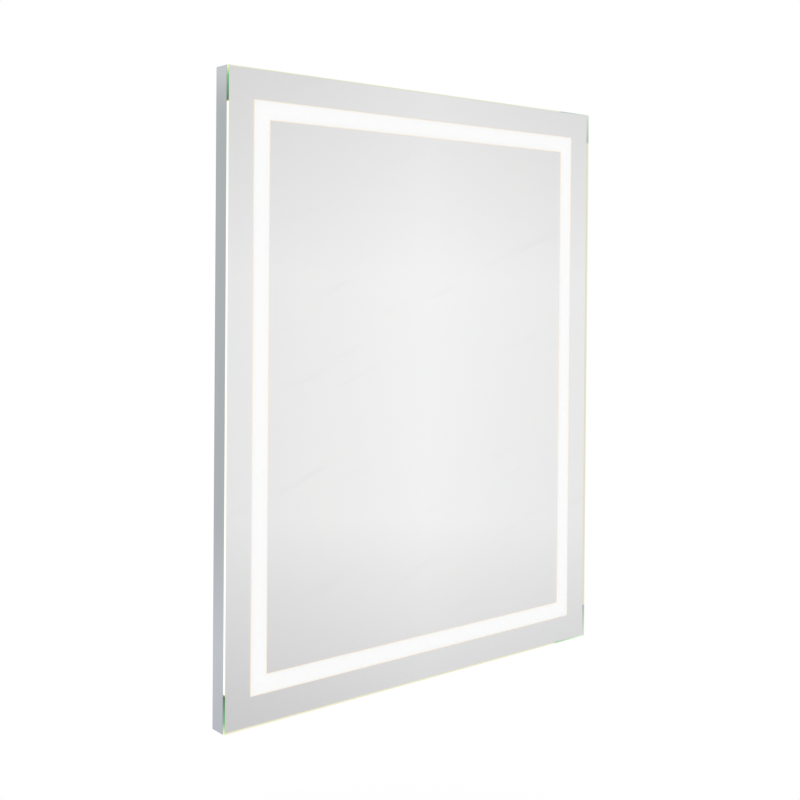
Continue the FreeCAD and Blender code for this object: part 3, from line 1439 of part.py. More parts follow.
def check_parts(parts):
    """Stops if any object failed or any sub-part has no valid shape."""
    for item in doc.Objects:
        if "Invalid" in item.State or "Error" in item.State:
            raise ValueError(f"{item.Name} failed: {item.State}")
    for part in parts:
        if part.Shape.isNull() or not part.Shape.isValid() or not part.Shape.Solids:
            raise ValueError(f"{part.Label} has no valid solid")


def main():
    """Builds the mirror and writes one file for each sub-part."""
    parts = make_parts()
    doc.recompute()
    check_parts(parts)
    os.makedirs("parts", exist_ok=True)
    for part in parts:
        part.Shape.exportStep(f"parts/{part.Label}.step")
    print(f"{len(parts)} sub-parts written")


main()
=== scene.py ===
"""Lighted bathroom mirror: its finishes, its fine pieces, the studio and the camera.

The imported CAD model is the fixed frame. The glass, its coats, the etched band, the fasteners on
the back, the cable grommet and the bumpers are modelled here, and every other piece is the CAD
one with its own finish. Sizes are millimetres and meshes are metres. X runs along the wall, +Y
points into the wall and +Z is up.
"""

import logging
import math
from collections.abc import Callable, Iterable, Sequence
from dataclasses import dataclass
from enum import Enum
from functools import partial

import bmesh
import bpy
from bmesh.types import BMesh, BMVert
from mathutils import Matrix, Vector


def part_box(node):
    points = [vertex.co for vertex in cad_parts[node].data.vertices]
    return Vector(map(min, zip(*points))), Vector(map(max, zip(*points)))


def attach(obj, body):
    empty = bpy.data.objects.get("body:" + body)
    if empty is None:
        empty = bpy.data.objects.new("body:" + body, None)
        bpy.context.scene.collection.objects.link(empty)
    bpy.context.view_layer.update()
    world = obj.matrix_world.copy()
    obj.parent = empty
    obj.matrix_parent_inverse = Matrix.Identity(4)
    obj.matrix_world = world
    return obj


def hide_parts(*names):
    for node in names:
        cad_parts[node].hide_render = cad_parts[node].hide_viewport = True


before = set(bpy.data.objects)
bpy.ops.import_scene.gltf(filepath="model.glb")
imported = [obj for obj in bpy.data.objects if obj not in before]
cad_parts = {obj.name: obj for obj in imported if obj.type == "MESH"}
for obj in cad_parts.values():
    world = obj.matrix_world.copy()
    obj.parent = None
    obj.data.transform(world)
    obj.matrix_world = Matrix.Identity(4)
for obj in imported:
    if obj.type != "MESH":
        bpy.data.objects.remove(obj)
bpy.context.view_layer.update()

logging.basicConfig(level=logging.INFO, format="%(message)s")
log = logging.getLogger("mirror")

MM = 0.001
# A Mix node's two colour inputs.
MIX_LOW, MIX_HIGH = 6, 7
# The refractive index of soda-lime glass.
GLASS_IOR = 1.52
# What a direction's sine needs to run from 0 to 1 along a ramp.
RAMP_SHIFT = 0.5
# Points closer than the first are one point. Points closer than the second share a line.
SAME, NEAR = 0.001 * MM, 0.01 * MM
# Edges at which the faces turn by less than this are smooth.
CREASE = math.radians(35)
# Faces round a turned rubber piece.
RUBBER_STEPS = 48

Node = bpy.types.Node
Socket = bpy.types.NodeSocket
Given = float | str | Sequence[float] | Socket | Node
Adder = Callable[..., Node]
Stops = Sequence[tuple[float, str]]
Pair = tuple[float, float]
Triple = tuple[float, float, float]


class Run(Enum):
    """How an extruded piece lies. The values draw a pattern out along it."""

    ACROSS = (0.02, 1.0, 1.0)
    UP = (1.0, 1.0, 0.02)


class Edge(Enum):
    """The edges of the glass, by the way that each faces."""

    LEFT = (-1.0, 0.0, 0.0)
    RIGHT = (1.0, 0.0, 0.0)
    BOTTOM = (0.0, 0.0, -1.0)
    TOP = (0.0, 0.0, 1.0)


class Head(Enum):
    """The head of a fastener: its outline as shares of its radius and height."""

    CROSS = ((1, 0), (1, 0.3), (0.96, 0.58), (0.84, 0.82), (0.62, 0.96), (0.3, 1), (0, 1))
    DOME = ((1, 0), (0.93, 0.42), (0.72, 0.78), (0.45, 0.97), (0.24, 1), (0.16, 0.9), (0, 0.4))


# ------------------------------------------------------------------ colours and shader nodes


def linear(code: str) -> tuple[float, float, float, float]:
    """Turns an sRGB colour into linear light.

    Args:
        code: The colour as six hex digits.

    Returns:
        Red, green, blue and an alpha of 1.
    """
    channels = [int(code[at : at + 2], 16) / 255 for at in (0, 2, 4)]
    light = [c / 12.92 if c <= 0.04045 else ((c + 0.055) / 1.055) ** 2.4 for c in channels]
    return (light[0], light[1], light[2], 1.0)


def add_node(
    tree: bpy.types.NodeTree,
    kind: str,
    inputs: dict[str | int, Given] | None = None,
    stops: Stops = (),
    **settings: object,
) -> Node:
    """Adds a shader node with its settings and links.

    Args:
        tree: The node tree that takes it.
        kind: The node's type, without its "ShaderNode".
        inputs: What goes into its sockets, by name or place: a number, a vector, a colour in hex
            digits, another node's socket, or another node for its main one.
        stops: A ramp's places and hex colours.
        **settings: The node's own properties.

    Returns:
        The new node.
    """
    node = tree.nodes.new("ShaderNode" + kind)
    for name, setting in settings.items():
        setattr(node, name, setting)
    for place, given in (inputs or {}).items():
        if isinstance(given, Node):
            given = next(socket for socket in given.outputs if socket.enabled)
        if isinstance(given, Socket):
            tree.links.new(given, node.inputs[place])
        else:
            node.inputs[place].default_value = linear(given) if isinstance(given, str) else given
    for at, (place, code) in enumerate(stops):
        elements = node.color_ramp.elements
        element = elements[at] if at < len(elements) else elements.new(place)
        element.position = place
        element.color = linear(code)
    return node


# ------------------------------------------------------------------ finishes


@dataclass(frozen=True)
class Finish:
    """The finish of one kind of surface. Each kind writes its own shader."""

    name: str

    def shade(self, add: Adder) -> Node:
        """Writes the surface's nodes with what adds a node, and gives the shader."""
        raise NotImplementedError

    def fill(self, add: Adder) -> Node | None:
        """Writes what fills a clear piece; nothing fills the others."""
        return None

    def material(self) -> bpy.types.Material:
        """Makes the material, or finds the one made before.

        Returns:
            The material.
        """
        known = bpy.data.materials.get(self.name)
        if known:
            return known
        made = bpy.data.materials.new(self.name)
        made.use_nodes = True
        made.node_tree.nodes.clear()
        add = partial(add_node, made.node_tree)
        ends = {"Surface": self.shade(add), "Volume": self.fill(add)}
        add("OutputMaterial", {name: end for name, end in ends.items() if end})
        return made


@dataclass(frozen=True)
class GrainedFinish(Finish):
    """A surface that one fine pattern tells by: two close tones, a little roughness and height,
    under broad clouds of a third tone. Sizes of patterns are in millimetres."""

    dark: str
    light: str
    cloud: str
    rough: Pair
    grain: float
    depth: float
    cloud_size: float = 45.0
    cloud_share: float = 0.5
    drawn: Triple = (1.0, 1.0, 1.0)
    metallic: float = 0.0
    ior: float = 1.5

    def pattern(self, add: Adder, point: Socket) -> Node:
        """Writes the fine pattern, from 0 to 1: noise, drawn out where the piece was drawn."""
        placed = add("Mapping", {"Vector": point, "Scale": self.drawn})
        return add("TexNoise", {"Vector": placed, "Scale": 1 / (self.grain * MM)})

    def tone(self, add: Adder, point: Socket, pattern: Node) -> Node:
        """Writes the colour.

        Args:
            add: Adds a node to the material.
            point: The shaded point.
            pattern: The fine pattern.

        Returns:
            The colour.
        """
        fine = add("Mix", {0: pattern, MIX_LOW: self.dark, MIX_HIGH: self.light}, data_type="RGBA")
        broad = add("TexNoise", {"Vector": point, "Scale": 1 / (self.cloud_size * MM)})
        share = {"Value": broad, "From Min": 0.35, "From Max": 0.65, "To Max": self.cloud_share}
        mixed = {0: add("MapRange", share), MIX_LOW: fine, MIX_HIGH: self.cloud}
        return add("Mix", mixed, data_type="RGBA")

    def extras(self, add: Adder, point: Socket) -> dict[str, Given]:
        """Gives further inputs of the shader, which most surfaces don't have."""
        return {}

    def shade(self, add: Adder) -> Node:
        """Writes the surface from its pattern.

        Args:
            add: Adds a node to the material.

        Returns:
            The shader.
        """
        point = add("TexCoord").outputs["Object"]
        pattern = self.pattern(add, point)
        low, high = self.rough
        spread = {"Value": pattern, "From Min": 0.3, "From Max": 0.7, "To Min": low, "To Max": high}
        relief = {"Height": pattern, "Distance": self.depth * MM, "Strength": 0.5}
        inputs = {
            "Base Color": self.tone(add, point, pattern),
            "Metallic": self.metallic,
            "Roughness": add("MapRange", spread),
            "IOR": self.ior,
            "Normal": add("Bump", relief),
        }
        return add("BsdfPrincipled", inputs | self.extras(add, point))


@dataclass(frozen=True)
class FloatGlass(Finish):
    """Clear soda-lime float glass, fire-polished: sharp reflections and a faint green body."""

    name: str = "glass_float_clear"

    def shade(self, add: Adder) -> Node:
        """Writes clean glass; its colour is all in its depth."""
        clear = {"Base Color": "FFFFFF", "Roughness": 0.0, "Transmission Weight": 1.0}
        return add("BsdfPrincipled", clear | {"IOR": GLASS_IOR})

    def fill(self, add: Adder) -> Node:
        """Writes the iron's tint, which takes out red first: about 1% in 5 mm."""
        return add("VolumeAbsorption", {"Color": "00E8B8", "Density": 1.6})


@dataclass(frozen=True)
class EdgeGlow(Finish):
    """A polished edge of the glass. The etched band shines into the sheet, and the light leaves
    the edge along the band's length. Towards the corners the edge is the green of long glass."""

    run: Run
    start: float
    end: float
    dark_start: float
    dark_end: float
    greens: Stops
    fringe: str
    lit: str
    fringe_start: float = 0.98

    def shade(self, add: Adder) -> Node:
        """Writes the light between the two green ends.

        Args:
            add: Adds a node to the material.

        Returns:
            The shader.
        """
        point = add("SeparateXYZ", {0: add("TexCoord").outputs["Object"]})
        place = point.outputs["X" if self.run is Run.ACROSS else "Z"]
        after = add("Math", {0: place, 1: self.start * MM}, operation="SUBTRACT")
        before = add("Math", {0: self.end * MM, 1: place}, operation="SUBTRACT")
        first = add("Math", {0: after, 1: self.dark_start * MM}, operation="DIVIDE")
        last = add("Math", {0: before, 1: self.dark_end * MM}, operation="DIVIDE")
        inward = add("Math", {0: first, 1: last}, operation="MINIMUM")
        # The edge's whole colour is painted light, given as emission: white along the band, a cream
        # painted halo at its ends, and greens towards the corners.
        tones = (*self.greens, (self.fringe_start, self.fringe), (1.0, self.lit))
        glow = {"Emission Color": add("ValToRGB", {0: inward}, tones), "Emission Strength": 1.0}
        glass = {"Base Color": "2A3A30", "Roughness": 0.08, "IOR": GLASS_IOR}
        return add("BsdfPrincipled", glass | glow)


@dataclass(frozen=True, kw_only=True)
class EtchedBand(GrainedFinish):
    """Glass that was sand-blasted and is lit from behind. Its glow is painted light, given as
    emission: an even white field with a thin cream line along each side, which is a painted halo
    round the bright band. Its place is given by the glass's middle and half sizes, in millimetres."""

    width: float
    inset: float
    middle_up: float
    half_width: float
    half_height: float
    # How wide the painted cream halo is, in millimetres, and how strong the band's painted glow is.
    fade: float = 2.4
    strength: float = 0.84

    def extras(self, add: Adder, point: Socket) -> dict[str, Given]:
        """Writes the light that comes through.

        Args:
            add: Adds a node to the material.
            point: The shaded point.

        Returns:
            The emission's inputs.
        """
        place = add("SeparateXYZ", {0: point}).outputs
        level = add("Math", {0: place["Z"], 1: self.middle_up * MM}, operation="SUBTRACT")
        gaps = []
        for along, half in ((place["X"], self.half_width), (level, self.half_height)):
            away = add("Math", {0: along}, operation="ABSOLUTE")
            gaps.append(add("Math", {0: half * MM, 1: away}, operation="SUBTRACT"))
        inward = add("Math", {0: gaps[0], 1: gaps[1]}, operation="MINIMUM")
        line = (self.inset + self.width / 2) * MM
        off = add("Math", {0: inward, 1: line}, operation="SUBTRACT")
        beside = add("Math", {0: off}, operation="ABSOLUTE")
        reads = {"From Min": self.width / 2 * MM, "From Max": (self.width / 2 - self.fade) * MM}
        clear_of_halo = add("MapRange", {"Value": beside} | reads)
        blasting = self.pattern(add, point)
        # The band's painted glow: faintly grained white, with the painted cream halo along each
        # side.
        even = add("Mix", {0: blasting, MIX_LOW: "FDFDFD", MIX_HIGH: "FFFFFF"}, data_type="RGBA")
        glow = add("Mix", {0: clear_of_halo, MIX_LOW: "FFE8D0", MIX_HIGH: even}, data_type="RGBA")
        return {"Emission Color": glow, "Emission Strength": self.strength}


@dataclass(frozen=True)
class Silver(Finish):
    """Silver deposited on glass: a near perfect, faintly warm mirror, with the slight clouds and
    the few thin streaks that wiping leaves."""

    name: str = "silver_deposited"
    cloud_size: float = 140.0
    streak_size: float = 22.0
    streak_slant: float = 0.35
    streak_draw: float = 0.12

    def shade(self, add: Adder) -> Node:
        """Writes polished silver.

        Args:
            add: Adds a node to the material.

        Returns:
            The shader.
        """
        point = add("TexCoord").outputs["Object"]
        broad, fine = 1 / (self.cloud_size * MM), 1 / (self.streak_size * MM)
        clouds = add("TexNoise", {"Vector": point, "Scale": broad, "Detail": 3.0})
        even = add("Mix", {0: clouds, MIX_LOW: "F9F8F9", MIX_HIGH: "FBF9F9"}, data_type="RGBA")
        slant = add("Mapping", {"Vector": point, "Rotation": (0.0, self.streak_slant, 0.0)})
        drawn = add("Mapping", {"Vector": slant, "Scale": (self.streak_draw, 1.0, 1.0)})
        streaks = add("TexNoise", {"Vector": drawn, "Scale": fine, "Detail": 3.0})
        thin = {"Value": streaks, "From Min": 0.6, "From Max": 0.75, "To Max": 0.35}
        share = add("MapRange", thin)
        wiped = add("Mix", {0: share, MIX_LOW: even, MIX_HIGH: "F5F3F4"}, data_type="RGBA")
        return add("BsdfPrincipled", {"Base Color": wiped, "Metallic": 1.0, "Roughness": 0.0})


@dataclass(frozen=True)
class OpalAcrylic(GrainedFinish):
    """Extruded opal acrylic: milky white, satin, lit through, with faint lines of the die."""

    def extras(self, add: Adder, point: Socket) -> dict[str, Given]:
        """Gives the light that comes through."""
        lit = {"Emission Color": "FFFBF2", "Emission Strength": 0.9}
        return {"Transmission Weight": 0.25} | lit


@dataclass(frozen=True)
class LitBoard(GrainedFinish):
    """An LED strip: white solder mask, and packages whose yellow phosphor stands highest."""

    phosphor: str = "F2D65A"
    phosphor_front: float = 19.0

    def on_package(self, add: Adder, point: Socket) -> Node:
        """Writes which points lie on a package: 1 there and 0 elsewhere."""
        place = add("SeparateXYZ", {0: point}).outputs["Y"]
        return add("Math", {0: place, 1: -self.phosphor_front * MM}, operation="LESS_THAN")

    def tone(self, add: Adder, point: Socket, pattern: Node) -> Node:
        """Writes the board's white and the phosphor's yellow.

        Args:
            add: Adds a node to the material.
            point: The shaded point.
            pattern: The fine pattern.

        Returns:
            The colour.
        """
        board = super().tone(add, point, pattern)
        share = self.on_package(add, point)
        return add("Mix", {0: share, MIX_LOW: board, MIX_HIGH: self.phosphor}, data_type="RGBA")

    def extras(self, add: Adder, point: Socket) -> dict[str, Given]:
        """Gives the packages their glow."""
        return {"Emission Color": "FFF0C8", "Emission Strength": self.on_package(add, point)}


@dataclass(frozen=True)
class Galvanised(GrainedFinish):
    """Hot-dip galvanised steel sheet: zinc crystals, each its own grey, with fine frost inside
    them and faint rolling marks along X."""

    spangle: float = 8.0
    warp_size: float = 0.7
    warp_reach: float = 0.6
    frost: float = 0.35

    def pattern(self, add: Adder, point: Socket) -> Node:
        """Writes the crystals as warped cells, each with its own shade.

        Args:
            add: Adds a node to the material.
            point: The shaded point.

        Returns:
            A value from 0 to 1.
        """
        warp = add("TexNoise", {"Vector": point, "Scale": 1 / (self.warp_size * self.spangle * MM)})
        reach = (self.warp_reach * self.spangle * MM,) * 3
        moved = add("VectorMath", {0: warp, 1: reach, 2: point}, operation="MULTIPLY_ADD")
        cells = add("TexVoronoi", {"Vector": moved, "Scale": 1 / (self.spangle * MM)})
        shade = add("SeparateXYZ", {0: cells.outputs["Color"]})
        frost = super().pattern(add, point)
        return add("Mix", {0: self.frost, 2: shade, 3: frost}, data_type="FLOAT")


@dataclass(frozen=True)
class FoamTape(GrainedFinish):
    """Closed-cell acrylic foam tape: dark grey, with cells that show as pits in its cut sides."""

    def pattern(self, add: Adder, point: Socket) -> Node:
        """Writes the cells."""
        return add("TexVoronoi", {"Vector": point, "Scale": 1 / (self.grain * MM)})


@dataclass(frozen=True)
class StripedInsulation(GrainedFinish):
    """Extruded PVC insulation of an earth wire: two colours, in stripes on a slant."""

    stripe: str = "D9C62E"
    pitch: float = 3.0
    green_share: float = 0.62

    def tone(self, add: Adder, point: Socket, pattern: Node) -> Node:
        """Writes the stripes over the insulation's green.

        Args:
            add: Adds a node to the material.
            point: The shaded point.
            pattern: The fine pattern.

        Returns:
            The colour.
        """
        place = add("SeparateXYZ", {0: point}).outputs
        slant = add("Math", {0: place["X"], 1: place["Z"]}, operation="ADD")
        turns = add("Math", {0: slant, 1: self.pitch * MM}, operation="DIVIDE")
        part = add("Math", {0: turns}, operation="FRACT")
        share = add("Math", {0: part, 1: self.green_share}, operation="GREATER_THAN")
        green = super().tone(add, point, pattern)
        return add("Mix", {0: share, MIX_LOW: green, MIX_HIGH: self.stripe}, data_type="RGBA")


# Roller-coated mirror backing paint: flat blue-grey with the roller's stipple.
BACKING_PAINT = GrainedFinish(
    "paint_mirror_backing", "5E6B73", "6A767D", "647078", (0.58, 0.66), grain=0.6, depth=0.02
)
METAL = partial(GrainedFinish, metallic=1.0)
# Extruded aluminium, etched and clear anodised: cool grey, smooth enough to mirror the room, with
# die lines along the rail and broad clouds in the oxide. The lines are drawn 0.4 mm apart, which
# is coarser than the real ones, so that they show.
ANODISED = {
    run: METAL(
        f"aluminium_extruded_anodised_{run.name.lower()}",
        "C4C8CA",
        "CBCED0",
        "C6C9CD",
        (0.08, 0.13),
        grain=0.4,
        depth=0.0016,
        cloud_size=60.0,
        cloud_share=0.35,
        drawn=run.value,
    )
    for run in Run
}
# Aluminium straight from the press: brighter, with plain drawing lines under a patchy oxide.
MILL_ALUMINIUM = METAL(
    "aluminium_extruded_mill_finish",
    "D0D2D3",
    "DCDDDE",
    "CBCDCE",
    (0.24, 0.38),
    grain=0.7,
    depth=0.012,
    cloud_size=35.0,
    cloud_share=0.3,
    drawn=(0.004, 1.0, 1.0),
)
# Plain aluminium, cold-formed into rivets: soft, pale and slightly dull.
RIVET_ALUMINIUM = METAL(
    "aluminium_rivet_formed", "C2C4C6", "D6D8D9", "CACCCD", (0.25, 0.38), grain=0.5, depth=0.01
)
# Galvanised sheet steel: a mid grey that changes from crystal to crystal, half dull.
GALVANISED = Galvanised(
    "steel_sheet_galvanised",
    "A6A9AB",
    "C2C4C4",
    "AEB0B1",
    (0.36, 0.5),
    grain=1.6,
    depth=0.01,
    cloud_size=90.0,
    cloud_share=0.3,
    drawn=(0.25, 1.0, 1.0),
    metallic=1.0,
)
# Steel screws, bright zinc plated: clean, and slightly blue or straw-coloured in patches of 3 mm.
ZINC_PLATED = METAL(
    "steel_zinc_plated",
    "C4C9CF",
    "CDD0D3",
    "D4D0C0",
    (0.22, 0.34),
    grain=0.3,
    depth=0.003,
    cloud_size=3.0,
    cloud_share=0.9,
)
# Die-cast zinc, left plain: a mid grey with a fine, dull casting skin.
CAST_ZINC = METAL(
    "zinc_die_cast", "9A9C9D", "B3B5B6", "A5A7A8", (0.38, 0.55), grain=0.5, depth=0.02
)
# Turned brass: yellow and bright, with fine marks of the tool.
BRASS = METAL("brass_turned", "A88A45", "CDB069", "BB9E58", (0.2, 0.32), grain=0.3, depth=0.005)
# Polyester powder baked on metal: solid colour, satin, with orange peel about 1.5 mm across.
POWDER = partial(GrainedFinish, rough=(0.36, 0.46), grain=1.5, depth=0.03)
WHITE_POWDER = POWDER("powder_coat_white", "E8E8E6", "ECECEA", "E2E2E0")
GREY_POWDER = POWDER("powder_coat_grey", "C6C8C8", "C9CBCB", "BEC0C0")
# Injection-moulded plastics: even colour under the mould's fine spark-eroded grain.
MOULDED = partial(GrainedFinish, grain=0.35, depth=0.02)
GREY_POLYCARBONATE = MOULDED(
    "polycarbonate_moulded_grey", "D5D6D4", "D9DAD8", "CDCECC", (0.42, 0.54), ior=1.58
)
WHITE_NYLON = MOULDED("nylon_moulded_white", "ECEBE6", "F1F0EC", "E4E2DB", (0.36, 0.48), ior=1.53)
NATURAL_NYLON = MOULDED(
    "nylon_moulded_natural", "EAE6DA", "EFECE0", "E2DECF", (0.35, 0.48), ior=1.53
)
CREAM_POLYAMIDE = MOULDED(
    "polyamide_moulded_cream", "E0DCCB", "E6E2D2", "D8D3C0", (0.42, 0.54), ior=1.53
)
# Extruded PVC: soft, slightly waxy white with long flow lines.
PVC_SHEATH = GrainedFinish(
    "pvc_sheath_extruded",
    "E0E0DE",
    "E4E4E2",
    "D8D8D6",
    (0.45, 0.55),
    grain=0.8,
    depth=0.02,
    ior=1.54,
)
EARTH_PVC = StripedInsulation(
    "pvc_insulation_striped",
    "3A8231",
    "42903A",
    "3E8A35",
    (0.38, 0.46),
    grain=0.5,
    depth=0.01,
    ior=1.54,
)
# Moulded EPDM rubber: near black and matt, with a pale bloom in its pores.
BLACK_RUBBER = GrainedFinish(
    "epdm_rubber_moulded",
    "1B1B1C",
    "28282A",
    "2C2D2E",
    (0.68, 0.84),
    grain=0.8,
    depth=0.04,
    cloud_size=6.0,
    ior=1.52,
)
FOAM_TAPE = FoamTape(
    "acrylic_foam_tape", "2A2A2C", "3C3C3F", "323234", (0.74, 0.86), grain=0.3, depth=0.1
)
OPAL_ACRYLIC = OpalAcrylic(
    "acrylic_extruded_opal",
    "F4F4F1",
    "F8F8F5",
    "F2F2EE",
    (0.32, 0.42),
    grain=0.8,
    depth=0.005,
    ior=1.49,
)
LED_BOARD = LitBoard(
    "circuit_board_solder_mask", "ECECE8", "F6F6F2", "F0F0EC", (0.38, 0.46), grain=0.4, depth=0.01
)


# ------------------------------------------------------------------ mesh work


def block(bm: BMesh, low: Vector, high: Vector) -> list[BMVert]:
    """Adds a box between its lowest and highest corner, and gives its vertices."""
    matrix = Matrix.Translation((low + high) / 2) @ Matrix.Diagonal((*(high - low), 1.0))
    return bmesh.ops.create_cube(bm, size=1.0, matrix=matrix)["verts"]


def turned(profile: Sequence[Pair], steps: int = 32) -> BMesh:
    """Makes a shape turned about the Z axis.

    Args:
        profile: Radius and height pairs in millimetres. It starts and ends on the axis, or ends
            where it starts for a ring.
        steps: How many faces go round.

    Returns:
        The closed shape.
    """
    bm = bmesh.new()
    outline = [bm.verts.new((radius * MM, 0.0, height * MM)) for radius, height in profile]
    lines = [bm.edges.new(pair) for pair in zip(outline, outline[1:])]
    bmesh.ops.spin(
        bm,
        geom=outline + lines,
        cent=(0.0, 0.0, 0.0),
        axis=(0.0, 0.0, 1.0),
        angle=math.tau,
        steps=steps,
        use_merge=True,
    )
    bmesh.ops.remove_doubles(bm, verts=bm.verts, dist=SAME)
    bmesh.ops.recalc_face_normals(bm, faces=bm.faces)
    return bm


def as_object(bm: BMesh, name: str) -> bpy.types.Object:
    """Puts a shape into the scene.

    Args:
        bm: The shape, in metres and in place. It is freed.
        name: The object's name.

    Returns:
        The object.
    """
    mesh = bpy.data.meshes.new(name)
    bm.to_mesh(mesh)
    bm.free()
    made = bpy.data.objects.new(name, mesh)
    bpy.context.scene.collection.objects.link(made)
    return made


def cut_away(solid: BMesh, tool: BMesh) -> BMesh:
    """Takes one closed shape out of another.

    Args:
        solid: The shape that stays.
        tool: The shape that is taken out of it. Both are freed.

    Returns:
        What is left.
    """
    holders = [as_object(bm, "cutting") for bm in (solid, tool)]
    cut = holders[0].modifiers.new("cut", "BOOLEAN")
    cut.object = holders[1]
    cut.operation = "DIFFERENCE"
    cut.solver = "EXACT"
    cut.use_self = True
    left = bmesh.new()
    left.from_object(holders[0], bpy.context.evaluated_depsgraph_get())
    for holder in holders:
        bpy.data.meshes.remove(holder.data)
    return left


def repeated(pattern: BMesh, places: Iterable[Vector]) -> BMesh:
    """Copies one shape to several places.

    Args:
        pattern: The shape, about the origin. It is freed.
        places: Where each copy goes.

    Returns:
        All the copies in one mesh.
    """
    mesh = bpy.data.meshes.new("pattern")
    pattern.to_mesh(mesh)
    pattern.free()
    copies = bmesh.new()
    for place in places:
        mesh.transform(Matrix.Translation(place))
        copies.from_mesh(mesh)
        mesh.transform(Matrix.Translation(-place))
    bpy.data.meshes.remove(mesh)
    return copies


def to_wall(bm: BMesh, rear: float) -> BMesh:
    """Turns a shape's +Z towards the wall.

    Args:
        bm: The shape, about the origin.
        rear: Where its base comes to lie along Y, in millimetres.

    Returns:
        The same shape.
    """
    towards_wall = Matrix.Rotation(math.radians(-90.0), 3, "X")
    bmesh.ops.rotate(bm, cent=(0.0, 0.0, 0.0), matrix=towards_wall, verts=bm.verts)
    bmesh.ops.translate(bm, vec=(0.0, rear * MM, 0.0), verts=bm.verts)
    return bm


def middle_of(node: str) -> Vector:
    """Gives the middle of a CAD node's box along the wall, at Y = 0."""
    low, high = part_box(node)
    return Vector(((low.x + high.x) / 2, 0.0, (low.z + high.z) / 2))


def spread(count: int, start: float, end: float) -> list[float]:
    """Spreads a number of places evenly from one end to the other, ends included."""
    return [start + (end - start) * step / (count - 1) for step in range(count)]


@dataclass
class SubAssembly:
    """Pieces that belong together. Some are modelled, and the CAD nodes that stay get finishes."""

    body: str = "mirror"

    def build(self) -> None:
        """Models the pieces that the CAD model holds in outline only."""

    def finishes(self) -> dict[str, Finish]:
        """Gives the finish of each CAD node that stays."""
        return {}

    def dress(self) -> None:
        """Puts the finishes on the CAD nodes that stay."""
        for name, finish in self.finishes().items():
            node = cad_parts[name]
            for held in node.material_slots:
                held.material = finish.material()
            log.info("%s: %s", name, finish.name)

    def place(
        self, bm: BMesh, name: str, finishes: Sequence[Finish], slot: str, *nodes: str
    ) -> None:
        """Turns a mesh into a piece that rides on this sub-assembly's body.

        Args:
            bm: The shape, in metres and in place. It is freed.
            name: The piece's name.
            finishes: Its finishes, in the order of its faces' material indices.
            slot: The record's material slot that it belongs to. It is not used.
            *nodes: The CAD nodes that it stands for.
        """
        for edge in bm.edges:
            edge.smooth = edge.calc_face_angle(math.pi) < CREASE
        for face in bm.faces:
            face.smooth = True
        piece = as_object(bm, name)
        for finish in finishes:
            piece.data.materials.append(finish.material())
        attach(piece, self.body)
        if nodes:
            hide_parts(*nodes)
        log.info("%s: %d faces", name, len(piece.data.polygons))


# ------------------------------------------------------------------ the glass and its coats


